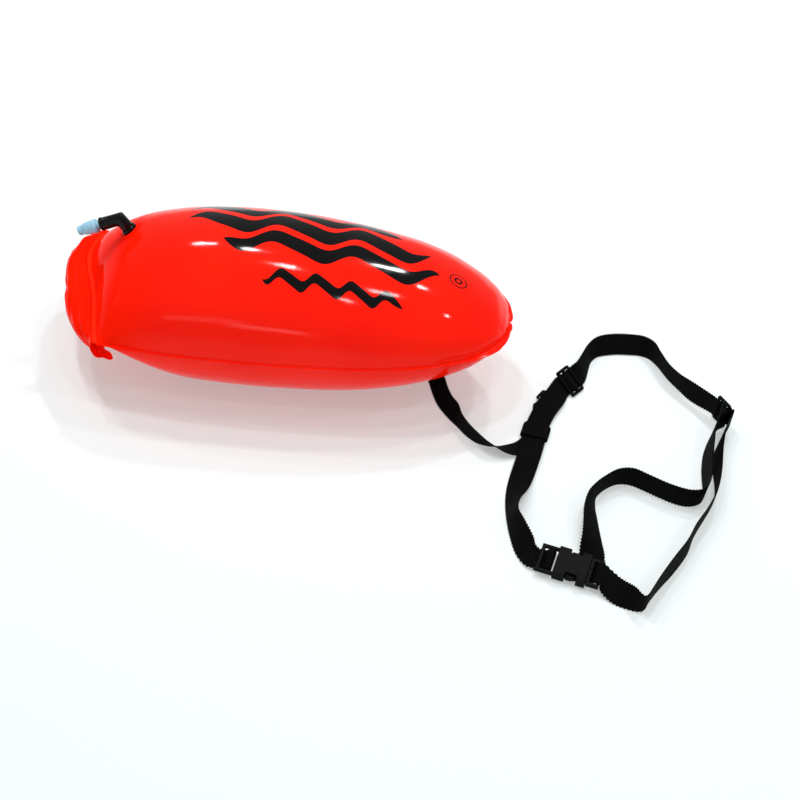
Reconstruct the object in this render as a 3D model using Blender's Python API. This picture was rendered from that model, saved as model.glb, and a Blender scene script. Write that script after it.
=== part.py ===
"""Open water swim buoy with a roll-top tail, a tether and an adjustable waist belt.

Two formed panels make the body. A weld bar joins them to the rolled mouth at the tail.
An inflation valve stands on the upper panel. The tether runs to a sewn belt of webbing.
"""
import math

import bmesh
import bpy
import numpy as np
from mathutils import Matrix, Vector

for old in list(bpy.data.objects):
    bpy.data.objects.remove(old, do_unlink=True)

# Body: stations along the length share, half width, rise and drop from the seam plane.
BODY_START_X = -0.232
BODY_LENGTH = 0.474
SEAM_HEIGHT = 0.0889
BODY_STATIONS = [
    (0.00, 0.0985, 0.0010, 0.0010), (0.03, 0.0990, 0.0260, 0.0240), (0.07, 0.1005, 0.0480, 0.0450),
    (0.13, 0.1025, 0.0690, 0.0650), (0.22, 0.1050, 0.0865, 0.0815), (0.34, 0.1060, 0.0935, 0.0885),
    (0.48, 0.1053, 0.0926, 0.0897), (0.58, 0.1030, 0.0880, 0.0882), (0.70, 0.0980, 0.0785, 0.0775),
    (0.80, 0.0885, 0.0665, 0.0655), (0.88, 0.0755, 0.0520, 0.0520), (0.94, 0.0580, 0.0370, 0.0370),
    (0.98, 0.0370, 0.0215, 0.0215), (1.00, 0.0150, 0.0040, 0.0040),
]
# The tail is skewed: each entry is a place across it and its shift along the length.
TAIL_SHIFT = [
    (-0.0990, 0.0400), (-0.0530, 0.0225), (-0.0200, 0.0100), (0.0000, 0.0010), (0.0220, -0.0105),
    (0.0450, -0.0195), (0.0660, -0.0230), (0.0880, -0.0190), (0.0990, -0.0110),
]
TAIL_SHIFT_REACH_SHARE = 0.45
SECTION_POWER = 2.1
SECTION_ROUNDNESS = 0.54
PANEL_WALL = 0.0005
PANEL_GAP = 0.0003
SEAM_FLANGE = 0.0045
BODY_ROWS = 38
BODY_COLUMNS = 19
COLUMN_EASE_POWER = 0.78
FIT_GAP = 0.0003
DISC_GAP = 0.0003

# Tail weld bar and rolled mouth: outward reach and drop of the sheet's middle line.
WELD_BAR_WIDTH = 0.0050
WELD_BAR_THICKNESS = 0.0022
MOUTH_SHEET = 0.0012
MOUTH_CURVE = [
    (0.0009, 0.0000), (0.0070, -0.0006), (0.0130, 0.0004), (0.0185, 0.0036), (0.0225, 0.0086),
    (0.0245, 0.0150), (0.0245, 0.0220), (0.0222, 0.0285), (0.0178, 0.0335), (0.0118, 0.0362),
    (0.0050, 0.0366), (-0.0015, 0.0352), (-0.0068, 0.0315), (-0.0085, 0.0265), (-0.0058, 0.0222),
    (0.0000, 0.0208), (0.0055, 0.0222), (0.0082, 0.0258), (0.0066, 0.0292), (0.0015, 0.0304),
]
MOUTH_END_SHARE = 0.58
MOUTH_COLUMNS = 20
STIFFENER_WIDTH = 0.0042
STIFFENER_LENGTH_SHARE = 0.98

# Inflation valve: seat on the upper panel, then sizes along the valve's own axes.
VALVE_SEAT_SHARE = 0.114
VALVE_SEAT_ACROSS_SHARE = 0.185
VALVE_TURN_DEGREES = 10.0
VALVE_HOLE_RADIUS = 0.0070
VALVE_HOLE_DEPTH = 0.0060
VALVE_FLANGE_RADIUS = 0.0140
VALVE_FLANGE_THICKNESS = 0.0009
VALVE_BOSS_RADIUS = 0.0085
VALVE_BOSS_HEIGHT = 0.0048
VALVE_NECK_RADIUS = 0.0066
VALVE_NECK_DEPTH = 0.0040
VALVE_BORE_RADIUS = 0.0042
ELBOW_RADIUS = 0.0064
ELBOW_BEND_RADIUS = 0.0085
ELBOW_TURN_DEGREES = 76.0
ELBOW_AXIS_HEIGHT = 0.0170
ELBOW_TUBE_END = 0.0225
ELBOW_RIB_RADIUS = 0.0072
ELBOW_RIB_WIDTH = 0.0022
MOUTHPIECE_TAIL_RADIUS = 0.0038
MOUTHPIECE_BORE_RADIUS = 0.0022
MOUTHPIECE_TAIL_START = 0.0140
MOUTHPIECE_COLLAR_START = 0.0270
MOUTHPIECE_PROFILE = [
    (0.0274, 0.0070), (0.0300, 0.0074), (0.0315, 0.0068), (0.0420, 0.0064), (0.0430, 0.0054),
    (0.0495, 0.0050),
]
SEAL_RADIUS = 0.0037
SEAL_THICKNESS = 0.0012
SEAL_STEM_RADIUS = 0.0016
SEAL_STEM_LENGTH = 0.0060
ROUND_STEPS = 28

# Anchor under the nose: patch, tab and ring.
ANCHOR_SHARE = 0.800
ANCHOR_ACROSS_SHARE = 0.13
ANCHOR_RADIUS = 0.0240
ANCHOR_HOLE_RADIUS = 0.0012
ANCHOR_THICKNESS = 0.0009
ANCHOR_RINGS = 5
RING_TURN_DEGREES = 24.0
RING_HANG_DEGREES = 32.0
RING_LONG = 0.0290
RING_SHORT = 0.0135
RING_CORNER = 0.0035
RING_WIRE_RADIUS = 0.0015
TAB_BAR_GAP = 0.0003
TAB_INNER = (0.0067, 0.0037)
TAB_WIDTH = 0.0160
TAB_THICKNESS = 0.0011

# Webbing: width and thickness of the belt and of the tether.
BELT_WIDTH = 0.0250
BELT_THICKNESS = 0.0014
LEASH_WIDTH = 0.0200
LEASH_THICKNESS = 0.0013
STRAP_STEPS_BELT = 2
STRAP_STEPS_LEASH = 3

# Route of the tether: place and direction of the webbing's width, from its free end.
LEASH_ROUTE = [
    (0.1618, -0.0073, 0.0063, 0.87, 0.40, 0.30), (0.1596, -0.0033, 0.0072, 0.87, 0.40, 0.30),
    (0.1577, -0.0002, 0.0090, 0.87, 0.40, 0.30), (0.1559, 0.0015, 0.0117, 0.87, 0.40, 0.30),
    (0.1546, 0.0031, 0.0134, 0.87, 0.40, 0.30), (0.1537, 0.0049, 0.0136, 0.87, 0.40, 0.30),
    (0.1534, 0.0064, 0.0124, 0.87, 0.40, 0.30), (0.1538, 0.0069, 0.0105, 0.87, 0.40, 0.30),
    (0.1548, 0.0060, 0.0090, 0.87, 0.40, 0.30), (0.1563, 0.0037, 0.0077, 0.87, 0.40, 0.30),
    (0.1577, 0.0013, 0.0067, 0.87, 0.40, 0.30), (0.1597, -0.0021, 0.0055, 0.87, 0.40, 0.30),
    (0.1614, -0.0052, 0.0048, 0.87, 0.40, 0.30), (0.1636, -0.0102, 0.0024, 0.87, 0.46, 0.16),
    (0.1663, -0.0165, 0.0012, 0.88, 0.47, 0.05), (0.1705, -0.0285, 0.0013, 0.87, 0.48, 0.05),
    (0.1775, -0.0450, 0.0029, 0.85, 0.49, 0.21), (0.1870, -0.0620, 0.0071, 0.66, 0.38, 0.64),
    (0.1970, -0.0795, 0.0099, 0.23, 0.15, 0.96), (0.2070, -0.0930, 0.0105, 0.08, 0.07, 0.99),
    (0.2185, -0.1035, 0.0105, -0.04, -0.06, 1.00), (0.2310, -0.1098, 0.0095, -0.13, -0.42, 0.90),
    (0.2420, -0.1116, 0.0074, -0.03, -0.74, 0.67), (0.2515, -0.1105, 0.0042, 0.18, -0.92, 0.34),
    (0.2603, -0.1072, 0.0016, 0.41, -0.91, 0.09), (0.2680, -0.1022, 0.0012, 0.67, -0.74, 0.02),
    (0.2738, -0.0956, 0.0019, 0.83, -0.56, 0.00), (0.2782, -0.0875, 0.0024, 0.91, -0.41, 0.00),
    (0.2812, -0.0785, 0.0024, 0.96, -0.28, 0.00), (0.2835, -0.0690, 0.0024, 0.96, -0.28, 0.00),
    (0.2864, -0.0580, 0.0020, 0.94, -0.34, 0.00), (0.2850, -0.0421, 0.0017, 0.87, -0.50, 0.00),
    (0.2880, -0.0369, 0.0016, 0.87, -0.50, 0.00), (0.2906, -0.0325, 0.0016, 0.87, -0.50, 0.00),
    (0.2914, -0.0310, 0.0020, 0.87, -0.50, 0.00), (0.2923, -0.0294, 0.0037, 0.87, -0.50, 0.00),
    (0.2932, -0.0279, 0.0053, 0.87, -0.50, 0.00), (0.2940, -0.0265, 0.0057, 0.87, -0.50, 0.00),
    (0.2948, -0.0251, 0.0053, 0.87, -0.50, 0.00), (0.2957, -0.0236, 0.0037, 0.87, -0.50, 0.00),
    (0.2966, -0.0220, 0.0020, 0.87, -0.50, 0.00), (0.2974, -0.0205, 0.0016, 0.87, -0.50, 0.00),
    (0.3000, -0.0161, 0.0015, 0.87, -0.50, 0.00),
]

# Route of the belt: place and direction of the webbing's width, from the sewn end at the socket.
BELT_ROUTE = [
    (0.2903, -0.2486, 0.0009, -0.22, -0.97, -0.00), (0.2942, -0.2495, 0.0009, -0.22, -0.97, -0.00),
    (0.2981, -0.2504, 0.0009, -0.22, -0.97, -0.00), (0.3030, -0.2515, 0.0010, -0.22, -0.97, -0.00),
    (0.3058, -0.2522, 0.0026, -0.22, -0.97, -0.00), (0.3061, -0.2522, 0.0060, -0.22, -0.97, -0.00),
    (0.3054, -0.2520, 0.0094, -0.22, -0.97, -0.00), (0.3030, -0.2515, 0.0105, -0.22, -0.97, -0.00),
    (0.3007, -0.2510, 0.0095, -0.22, -0.97, -0.00), (0.2993, -0.2506, 0.0068, -0.22, -0.97, -0.00),
    (0.2976, -0.2502, 0.0046, -0.22, -0.97, -0.00), (0.2942, -0.2495, 0.0035, -0.22, -0.97, -0.00),
    (0.2894, -0.2484, 0.0036, -0.22, -0.97, -0.00), (0.2836, -0.2460, 0.0054, -0.36, -0.90, -0.24),
    (0.2766, -0.2355, 0.0082, -0.62, -0.52, -0.59), (0.2690, -0.2195, 0.0110, -0.52, -0.25, -0.82),
    (0.2635, -0.2050, 0.0123, -0.39, -0.06, -0.92), (0.2630, -0.1890, 0.0108, -0.56, 0.04, -0.83),
    (0.2655, -0.1720, 0.0078, -0.83, 0.13, -0.54), (0.2685, -0.1540, 0.0039, -0.96, 0.17, -0.24),
    (0.2720, -0.1355, 0.0028, -0.98, 0.19, -0.05), (0.2760, -0.1160, 0.0049, -0.98, 0.19, 0.00),
    (0.2790, -0.0970, 0.0043, -0.99, 0.14, 0.00), (0.2810, -0.0800, 0.0043, -0.98, 0.17, 0.00),
    (0.2845, -0.0635, 0.0048, -0.95, 0.31, 0.09), (0.2910, -0.0460, 0.0074, -0.90, 0.38, 0.21),
    (0.2995, -0.0290, 0.0092, -0.81, 0.47, 0.34), (0.3063, -0.0118, 0.0090, -0.66, 0.50, 0.56),
    (0.3092, -0.0080, 0.0090, -0.66, 0.50, 0.56), (0.3104, -0.0067, 0.0094, -0.66, 0.50, 0.56),
    (0.3127, -0.0055, 0.0111, -0.66, 0.50, 0.56), (0.3150, -0.0043, 0.0127, -0.66, 0.50, 0.56),
    (0.3165, -0.0028, 0.0131, -0.66, 0.50, 0.56), (0.3176, -0.0010, 0.0128, -0.66, 0.50, 0.56),
    (0.3183, 0.0015, 0.0113, -0.66, 0.50, 0.56), (0.3189, 0.0041, 0.0098, -0.66, 0.50, 0.56),
    (0.3198, 0.0056, 0.0096, -0.66, 0.50, 0.56), (0.3227, 0.0089, 0.0101, -0.66, 0.50, 0.56),
    (0.3280, 0.0170, 0.0120, -0.52, 0.24, 0.82), (0.3320, 0.0310, 0.0126, -0.39, 0.11, 0.91),
    (0.3363, 0.0455, 0.0128, -0.28, 0.13, 0.95), (0.3440, 0.0575, 0.0125, -0.27, 0.26, 0.93),
    (0.3550, 0.0655, 0.0112, -0.26, 0.53, 0.81), (0.3690, 0.0700, 0.0106, -0.10, 0.65, 0.75),
    (0.3840, 0.0708, 0.0110, 0.02, 0.62, 0.79), (0.3975, 0.0690, 0.0120, 0.13, 0.42, 0.90),
    (0.4085, 0.0615, 0.0130, 0.14, 0.11, 0.98), (0.4165, 0.0480, 0.0132, -0.03, -0.02, 1.00),
    (0.4260, 0.0285, 0.0132, -0.09, -0.05, 0.99), (0.4375, 0.0120, 0.0136, -0.06, -0.04, 1.00),
    (0.4525, -0.0055, 0.0152, 0.08, 0.07, 0.99), (0.4708, -0.0227, 0.0170, 0.00, 0.00, 1.00),
    (0.4737, -0.0266, 0.0170, 0.00, 0.00, 1.00), (0.4752, -0.0279, 0.0170, 0.00, 0.00, 1.00),
    (0.4780, -0.0287, 0.0170, 0.00, 0.00, 1.00), (0.4808, -0.0295, 0.0170, 0.00, 0.00, 1.00),
    (0.4825, -0.0312, 0.0170, 0.00, 0.00, 1.00), (0.4834, -0.0330, 0.0170, 0.00, 0.00, 1.00),
    (0.4828, -0.0352, 0.0170, 0.00, 0.00, 1.00), (0.4807, -0.0380, 0.0170, 0.00, 0.00, 1.00),
    (0.4807, -0.0410, 0.0170, 0.00, 0.00, 1.00), (0.4826, -0.0449, 0.0170, 0.00, 0.00, 1.00),
    (0.4765, -0.0490, 0.0155, -0.03, 0.01, 1.00), (0.4690, -0.0650, 0.0140, -0.10, 0.04, 0.99),
    (0.4640, -0.0860, 0.0132, -0.17, 0.03, 0.98), (0.4610, -0.1080, 0.0132, -0.10, 0.01, 0.99),
    (0.4595, -0.1280, 0.0132, 0.00, -0.00, 1.00), (0.4580, -0.1430, 0.0132, 0.03, -0.01, 1.00),
    (0.4520, -0.1545, 0.0132, 0.00, -0.00, 1.00), (0.4405, -0.1590, 0.0132, -0.00, 0.07, 1.00),
    (0.4280, -0.1575, 0.0132, 0.02, 0.09, 1.00), (0.4130, -0.1520, 0.0132, 0.03, 0.06, 1.00),
    (0.3970, -0.1445, 0.0132, 0.03, 0.06, 1.00), (0.3820, -0.1385, 0.0132, 0.02, 0.09, 1.00),
    (0.3680, -0.1405, 0.0132, -0.01, 0.03, 1.00), (0.3560, -0.1495, 0.0132, 0.00, -0.00, 1.00),
    (0.3465, -0.1610, 0.0132, -0.06, 0.04, 1.00), (0.3418, -0.1745, 0.0128, -0.37, 0.07, 0.93),
    (0.3410, -0.1905, 0.0114, -0.62, 0.01, 0.79), (0.3422, -0.2065, 0.0096, -0.73, -0.03, 0.68),
    (0.3434, -0.2215, 0.0069, -0.87, -0.00, 0.50), (0.3439, -0.2363, 0.0025, -0.97, 0.22, 0.00),
    (0.3429, -0.2424, 0.0010, -0.98, 0.21, -0.00), (0.3420, -0.2477, 0.0008, -1.00, 0.09, -0.00),
    (0.3414, -0.2522, 0.0008, -0.98, -0.21, -0.00), (0.3415, -0.2563, 0.0008, -0.82, -0.57, -0.00),
    (0.3423, -0.2592, 0.0008, -0.54, -0.84, -0.00), (0.3435, -0.2601, 0.0010, -0.36, -0.93, -0.00),
    (0.3447, -0.2608, 0.0031, -0.26, -0.97, -0.00), (0.3457, -0.2614, 0.0052, -0.22, -0.97, -0.00),
    (0.3469, -0.2616, 0.0076, -0.22, -0.97, -0.00), (0.3484, -0.2620, 0.0097, -0.22, -0.97, -0.00),
    (0.3511, -0.2626, 0.0104, -0.22, -0.97, -0.00), (0.3536, -0.2638, 0.0098, -0.28, -0.96, -0.00),
    (0.3559, -0.2670, 0.0085, -0.45, -0.89, -0.00), (0.3606, -0.2716, 0.0070, -0.69, -0.72, -0.10),
    (0.3664, -0.2770, 0.0068, -0.64, -0.69, -0.34), (0.3726, -0.2824, 0.0086, -0.52, -0.59, -0.62),
    (0.3792, -0.2876, 0.0114, -0.31, -0.39, -0.87), (0.3852, -0.2916, 0.0124, -0.10, -0.18, -0.98),
    (0.3900, -0.2932, 0.0133, -0.00, -0.03, -1.00), (0.3936, -0.2900, 0.0133, 0.00, -0.00, -1.00),
    (0.3970, -0.2830, 0.0132, -0.06, 0.04, -1.00), (0.4060, -0.2670, 0.0130, -0.09, 0.06, -0.99),
    (0.4200, -0.2450, 0.0129, -0.12, 0.07, -0.99), (0.4340, -0.2215, 0.0129, -0.15, 0.08, -0.98),
    (0.4425, -0.2000, 0.0129, -0.12, 0.07, -0.99), (0.4530, -0.1800, 0.0131, -0.08, 0.04, -1.00),
    (0.4625, -0.1605, 0.0132, -0.03, 0.01, -1.00), (0.4685, -0.1420, 0.0132, 0.00, -0.00, -1.00),
    (0.4708, -0.1220, 0.0132, 0.00, -0.00, -1.00), (0.4715, -0.1040, 0.0132, 0.03, -0.00, -1.00),
    (0.4740, -0.0860, 0.0132, 0.08, -0.02, -1.00), (0.4795, -0.0670, 0.0142, 0.07, -0.02, -1.00),
    (0.4855, -0.0525, 0.0155, 0.00, -0.00, -1.00), (0.4901, -0.0423, 0.0170, 0.00, 0.00, -1.00),
    (0.4883, -0.0399, 0.0170, 0.00, 0.00, -1.00), (0.4872, -0.0383, 0.0170, 0.00, 0.00, -1.00),
    (0.4857, -0.0370, 0.0170, 0.00, 0.00, -1.00), (0.4838, -0.0375, 0.0170, 0.00, 0.00, -1.00),
    (0.4826, -0.0391, 0.0170, 0.00, 0.00, -1.00), (0.4832, -0.0409, 0.0170, 0.00, 0.00, -1.00),
    (0.4846, -0.0430, 0.0170, 0.00, 0.00, -1.00),
]

# Sewn end of the tether round the belt.
LOOP_CENTRE = (0.2810, -0.0800, 0.0036)
LOOP_ALONG = (0.174, 0.985, 0.0)
LOOP_ACROSS = (-0.985, 0.174, 0.0)
LOOP_INNER = (0.0280, 0.0044)
LOOP_THICKNESS = 0.0013
LOOP_WIDTH = 0.0190

# Three-bar sliders: length, width, thickness, slot length, slot width and middle bar.
BELT_SLIDER = (0.0335, 0.0200, 0.0024, 0.0262, 0.0056, 0.0034)
LEASH_SLIDER = (0.0270, 0.0160, 0.0020, 0.0208, 0.0044, 0.0028)
SLIDER_CORNER = 0.0022
STOP_CENTRE = (0.3155, -0.0020, 0.0112)
STOP_ALONG = (0.6155, 0.7877, 0.0300)
STOP_ACROSS = (-0.653, 0.510, 0.559)
ADJUSTER_CENTRE = (0.4805, -0.0325, 0.0170)
ADJUSTER_ALONG = (0.550, -0.835, 0.0)
ADJUSTER_ACROSS = (0.0, 0.0, 1.0)
LEASH_SLIDER_CENTRE = (0.2940, -0.0265, 0.0036)
LEASH_SLIDER_ALONG = (0.500, 0.866, 0.0)
LEASH_SLIDER_ACROSS = (0.866, -0.500, 0.0)

# Side-release buckle: sizes along its own axes, from the middle of the closed buckle.
BUCKLE_CENTRE = (0.3225, -0.2560, 0.0072)
BUCKLE_TURN_DEGREES = -13.0
SOCKET_START = -0.0140
SOCKET_END = 0.0180
SOCKET_HALF_WIDTH = 0.0165
SOCKET_HALF_HEIGHT = 0.0055
SOCKET_CAVITY_START = -0.0105
SOCKET_CAVITY_HALF_WIDTH = 0.0131
SOCKET_CAVITY_HALF_HEIGHT = 0.0032
SIDE_WINDOW = (-0.0022, 0.0092)
SIDE_WINDOW_DEPTH = 0.0045
LADDER_START = -0.0310
LADDER_HALF_HEIGHT = 0.0018
LADDER_RAIL = 0.0033
END_BAR = 0.0034
MIDDLE_BAR = (-0.0215, -0.0185)
PLUG_BASE = (0.0184, 0.0214)
PLUG_HALF_WIDTH = 0.0158
PLUG_HALF_HEIGHT = 0.0020
PLUG_BAR = (0.0280, 0.0310)
PLUG_JOIN = 0.0008
PLUG_RAIL = 0.0029
TONGUE_START = -0.0080
TONGUE_HALF_WIDTH = 0.0024
TONGUE_HALF_HEIGHT = 0.0016
ARM_PIVOT = (0.01515, 0.0092)
ARM_STUB = (0.0153, 0.0189)
ARM_STUB_ACROSS = (0.0078, 0.0106)
ARM_HALF_HEIGHT = 0.0027
STUB_HALF_HEIGHT = 0.0018
ARM_OUTLINE = [
    (0.0150, 0.0078), (0.0150, 0.0106), (0.0096, 0.0114), (0.0084, 0.0139), (0.0040, 0.0157),
    (-0.0012, 0.0156), (-0.0019, 0.0124), (-0.0066, 0.0110), (-0.0066, 0.0088), (0.0020, 0.0094),
    (0.0080, 0.0084),
]
EDGE_ROUND = 0.0008
BUCKLE_EDGE = 0.0007
SLIDER_EDGE = 0.0004
CUT_MARGIN = 0.0020

# Mesh steps and surface roughness.
GRADIENT_STEP_SHARE = 0.002
SEARCH_STEPS = 24
NORMAL_STEPS = 6
ROW_EVEN_SHARE = 0.55
SOFTEN_ANGLE_DEGREES = 40
CORNER_STEPS = 4
RING_CORNER_STEPS = 5
WIRE_STEPS = 12
ELBOW_BEND_STEPS = 7
WELD_RING_ROWS = 3
MOUTH_STEPS = 2
SOFT_ROUGHNESS = 0.35
HARD_ROUGHNESS = 0.30

# Colours.
RED_VINYL = (0.86, 0.045, 0.010, 1.0)
WELD_RED = (0.90, 0.130, 0.060, 1.0)
BLACK_PLASTIC = (0.012, 0.012, 0.013, 1.0)
BLACK_WEBBING = (0.010, 0.010, 0.011, 1.0)
PALE_BLUE = (0.42, 0.66, 0.80, 1.0)
CLEAR_GREY = (0.55, 0.57, 0.58, 1.0)


def material(name, colour, roughness):
    """One Principled material with a base colour and a roughness."""
    made = bpy.data.materials.new(name)
    made.use_nodes = True
    shader = made.node_tree.nodes["Principled BSDF"]
    shader.inputs["Base Color"].default_value = colour
    shader.inputs["Roughness"].default_value = roughness
    made.diffuse_color = colour
    return made


def piece(name, points, faces, colour, roughness, place=None):
    """A named mesh object with its own material, in the frame given by place."""
    mesh = bpy.data.meshes.new(name)
    mesh.from_pydata([tuple(float(v) for v in p) for p in points], [], faces)
    mesh.validate()
    work = bmesh.new()
    work.from_mesh(mesh)
    bmesh.ops.recalc_face_normals(work, faces=work.faces)
    work.to_mesh(mesh)
    work.free()
    made = bpy.data.objects.new(name, mesh)
    bpy.context.scene.collection.objects.link(made)
    made.data.materials.append(material(name + "_material", colour, roughness))
    if place is not None:
        made.matrix_world = place
    return made


def cutter(name, points, faces, place=None):
    """A hidden solid that is taken away from another piece."""
    made = piece(name, points, faces, CLEAR_GREY, HARD_ROUGHNESS, place)
    made.hide_render = True
    made.display_type = "WIRE"
    return made


def boolean(target, other, operation):
    """Adds one exact Boolean step to a piece."""
    step = target.modifiers.new(other.name, "BOOLEAN")
    step.operation = operation
    step.solver = "EXACT"
    step.object = other


def soften(target, width):
    """Rounds the sharp edges of a moulded piece."""
    step = target.modifiers.new("edges", "BEVEL")
    step.width = width
    step.segments = 1
    step.limit_method = "ANGLE"
    step.angle_limit = math.radians(SOFTEN_ANGLE_DEGREES)


def box(low, high):
    """Corner points and faces of a box."""
    points = [(x, y, z) for z in (low[2], high[2]) for y in (low[1], high[1]) for x in (low[0], high[0])]
    faces = [(0, 2, 3, 1), (4, 5, 7, 6), (0, 1, 5, 4), (2, 6, 7, 3), (0, 4, 6, 2), (1, 3, 7, 5)]
    return points, faces


def frame(centre, along, across):
    """Placing matrix with its first axis along, its second across and its third upright to both."""
    first = Vector(along).normalized()
    second = Vector(across)
    second = (second - first * second.dot(first)).normalized()
    third = first.cross(second)
    turn = Matrix((first, second, third)).transposed().to_4x4()
    return Matrix.Translation(Vector(centre)) @ turn


def table_value(table, column, place):
    """Smooth value of one table column at a place."""
    keys = np.array([row[0] for row in table])
    values = np.array([row[column] for row in table])
    slopes = np.gradient(values, keys)
    place = float(np.clip(place, keys[0], keys[-1]))
    low = int(np.clip(np.searchsorted(keys, place) - 1, 0, len(keys) - 2))
    span = keys[low + 1] - keys[low]
    t = (place - keys[low]) / span
    rest = 1 - t
    start = values[low] * (1 + 2 * t) * rest ** 2 + slopes[low] * span * t * rest ** 2
    return start + values[low + 1] * t ** 2 * (1 + 2 * rest) - slopes[low + 1] * span * t ** 2 * rest


def tail_shift(across, share):
    """Shift along the length that skews the tail, fading out towards the middle."""
    fade = max(0.0, 1 - share / TAIL_SHIFT_REACH_SHARE) ** 2
    return table_value(TAIL_SHIFT, 1, across) * fade


def body_point(share, across_share, side):
    """Point on the inner face of a panel; side is 1 for the upper one and -1 for the lower."""
    half_width = table_value(BODY_STATIONS, 1, share)
    rise = table_value(BODY_STATIONS, 2 if side > 0 else 3, share)
    y = half_width * across_share
    x = BODY_START_X + BODY_LENGTH * share + tail_shift(y, share)
    round_share = max(0.0, 1 - abs(across_share) ** SECTION_POWER) ** SECTION_ROUNDNESS
    z = SEAM_HEIGHT + side * (PANEL_GAP / 2 + rise * round_share)
    return Vector((x, y, max(z, PANEL_WALL)))


def outer_place(share, across_share, side):
    """Point on the outer face of a panel and its outward normal."""
    step = GRADIENT_STEP_SHARE
    along = body_point(share + step, across_share, side) - body_point(share - step, across_share, side)
    across = body_point(share, across_share + step, side) - body_point(share, across_share - step, side)
    normal = along.cross(across).normalized() * side
    return body_point(share, across_share, side) + normal * PANEL_WALL, normal


def outer_height(x, y, side):
    """Height of a panel's outer face above a place on the ground."""
    low, high = 0.0, 1.0
    for _ in range(SEARCH_STEPS):
        middle = (low + high) / 2
        if BODY_START_X + BODY_LENGTH * middle + tail_shift(y, middle) < x:
            low = middle
        else:
            high = middle
    half_width = table_value(BODY_STATIONS, 1, low)
    return outer_place(low, y / half_width, side)[0].z


def on_panel(p, normal, side):
    """Foot of a point on a panel's outer face, found along a fixed direction."""
    for _ in range(NORMAL_STEPS):
        p = p + normal * ((outer_height(p.x, p.y, side) - p.z) * normal.z)
    return p


def row_shares():
    """Places of the grid rows along the body, closer together at both ends."""
    even = np.linspace(0, 1, BODY_ROWS + 1)
    eased = (1 - np.cos(math.pi * even)) / 2
    return even * ROW_EVEN_SHARE + eased * (1 - ROW_EVEN_SHARE)


def panel(name, side):
    """One formed panel with a flat flange along both sides and the nose."""
    shares = row_shares()
    even = np.linspace(-1, 1, BODY_COLUMNS + 1)
    across = np.sin(math.pi / 2 * np.sign(even) * np.abs(even) ** COLUMN_EASE_POWER)
    rows = [[body_point(share, a, side) for a in across] for share in shares]
    for row in rows:
        row[0].z = row[-1].z = SEAM_HEIGHT + side * PANEL_GAP / 2
    edge = [np.array(row[-1].xy) for row in rows]
    run = np.gradient(np.array(edge), axis=0)
    grid = []
    for row, step in zip(rows, run):
        out = Vector((-step[1], step[0], 0)).normalized() * SEAM_FLANGE
        left = row[0] + Vector((out.x, -out.y, 0))
        right = row[-1] + out
        grid.append([left] + row + [right])
    ahead = Vector((SEAM_FLANGE, 0, 0))
    front = [Vector((p.x, p.y, SEAM_HEIGHT + side * PANEL_GAP / 2)) + ahead for p in grid[-1]]
    grid.append(front)
    columns = len(grid[0])
    points = [p for row in grid for p in row]
    faces = []
    for i in range(len(grid) - 1):
        for j in range(columns - 1):
            a = i * columns + j
            quad = (a, a + 1, a + columns + 1, a + columns)
            faces.append(quad if side < 0 else quad[::-1])
    made = bpy.data.meshes.new(name)
    made.from_pydata([tuple(p) for p in points], [], faces)
    shell = bpy.data.objects.new(name, made)
    bpy.context.scene.collection.objects.link(shell)
    shell.data.materials.append(material(name + "_material", RED_VINYL, SOFT_ROUGHNESS))
    wall = shell.modifiers.new("wall", "SOLIDIFY")
    wall.thickness = PANEL_WALL
    wall.offset = 1
    wall.use_even_offset = False
    return shell


def tail_line(y):
    """Distance along the length of the tail edge at a place across it."""
    return BODY_START_X + tail_shift(y, 0.0)


def sweep(sections):
    """Joins equal closed rings of points into a solid; each ring is two facing rows."""
    count = len(sections[0])
    points = [p for ring in sections for p in ring]
    faces = []
    for i in range(len(sections) - 1):
        for j in range(count):
            k = (j + 1) % count
            base = i * count
            faces.append((base + j, base + k, base + count + k, base + count + j))
    last = (len(sections) - 1) * count
    for j in range(count // 2 - 1):
        a, b, c, d = j, j + 1, count - 2 - j, count - 1 - j
        faces.append((a, b, c, d))
        faces.append((last + d, last + c, last + b, last + a))
    return points, faces


def weld_back(y):
    """Distance along the length of the weld bar's back at a place across the tail."""
    return tail_line(y) - PANEL_WALL - FIT_GAP - WELD_BAR_WIDTH


def weld_bar():
    """Raised weld bar that closes the tail edge of both panels."""
    half_width = BODY_STATIONS[0][1]
    thick = WELD_BAR_THICKNESS / 2
    sections = []
    for y in np.linspace(-half_width, half_width, MOUTH_COLUMNS + 1):
        back = weld_back(y)
        front = back + WELD_BAR_WIDTH
        low, high = SEAM_HEIGHT - thick, SEAM_HEIGHT + thick
        sections.append([(back, y, low), (front, y, low), (front, y, high), (back, y, high)])
    return piece("tail_weld_bar", *sweep(sections), WELD_RED, SOFT_ROUGHNESS)


def mouth_scale(y):
    """Share of the full roll size at a place across the mouth."""
    return 1 - (1 - MOUTH_END_SHARE) * (y / BODY_STATIONS[0][1]) ** 2


def smooth_line(points, steps):
    """Smooth curve through a list of points, with steps places per gap."""
    points = [np.array(p, float) for p in points]
    padded = [2 * points[0] - points[1]] + points + [2 * points[-1] - points[-2]]
    line = []
    for i in range(1, len(padded) - 2):
        a, b, c, d = padded[i - 1:i + 3]
        for t in np.arange(steps) / steps:
            bend = 2 * a - 5 * b + 4 * c - d
            twist = 3 * b - a - 3 * c + d
            line.append((2 * b + (c - a) * t + bend * t ** 2 + twist * t ** 3) / 2)
    line.append(points[-1])
    return line


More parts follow.
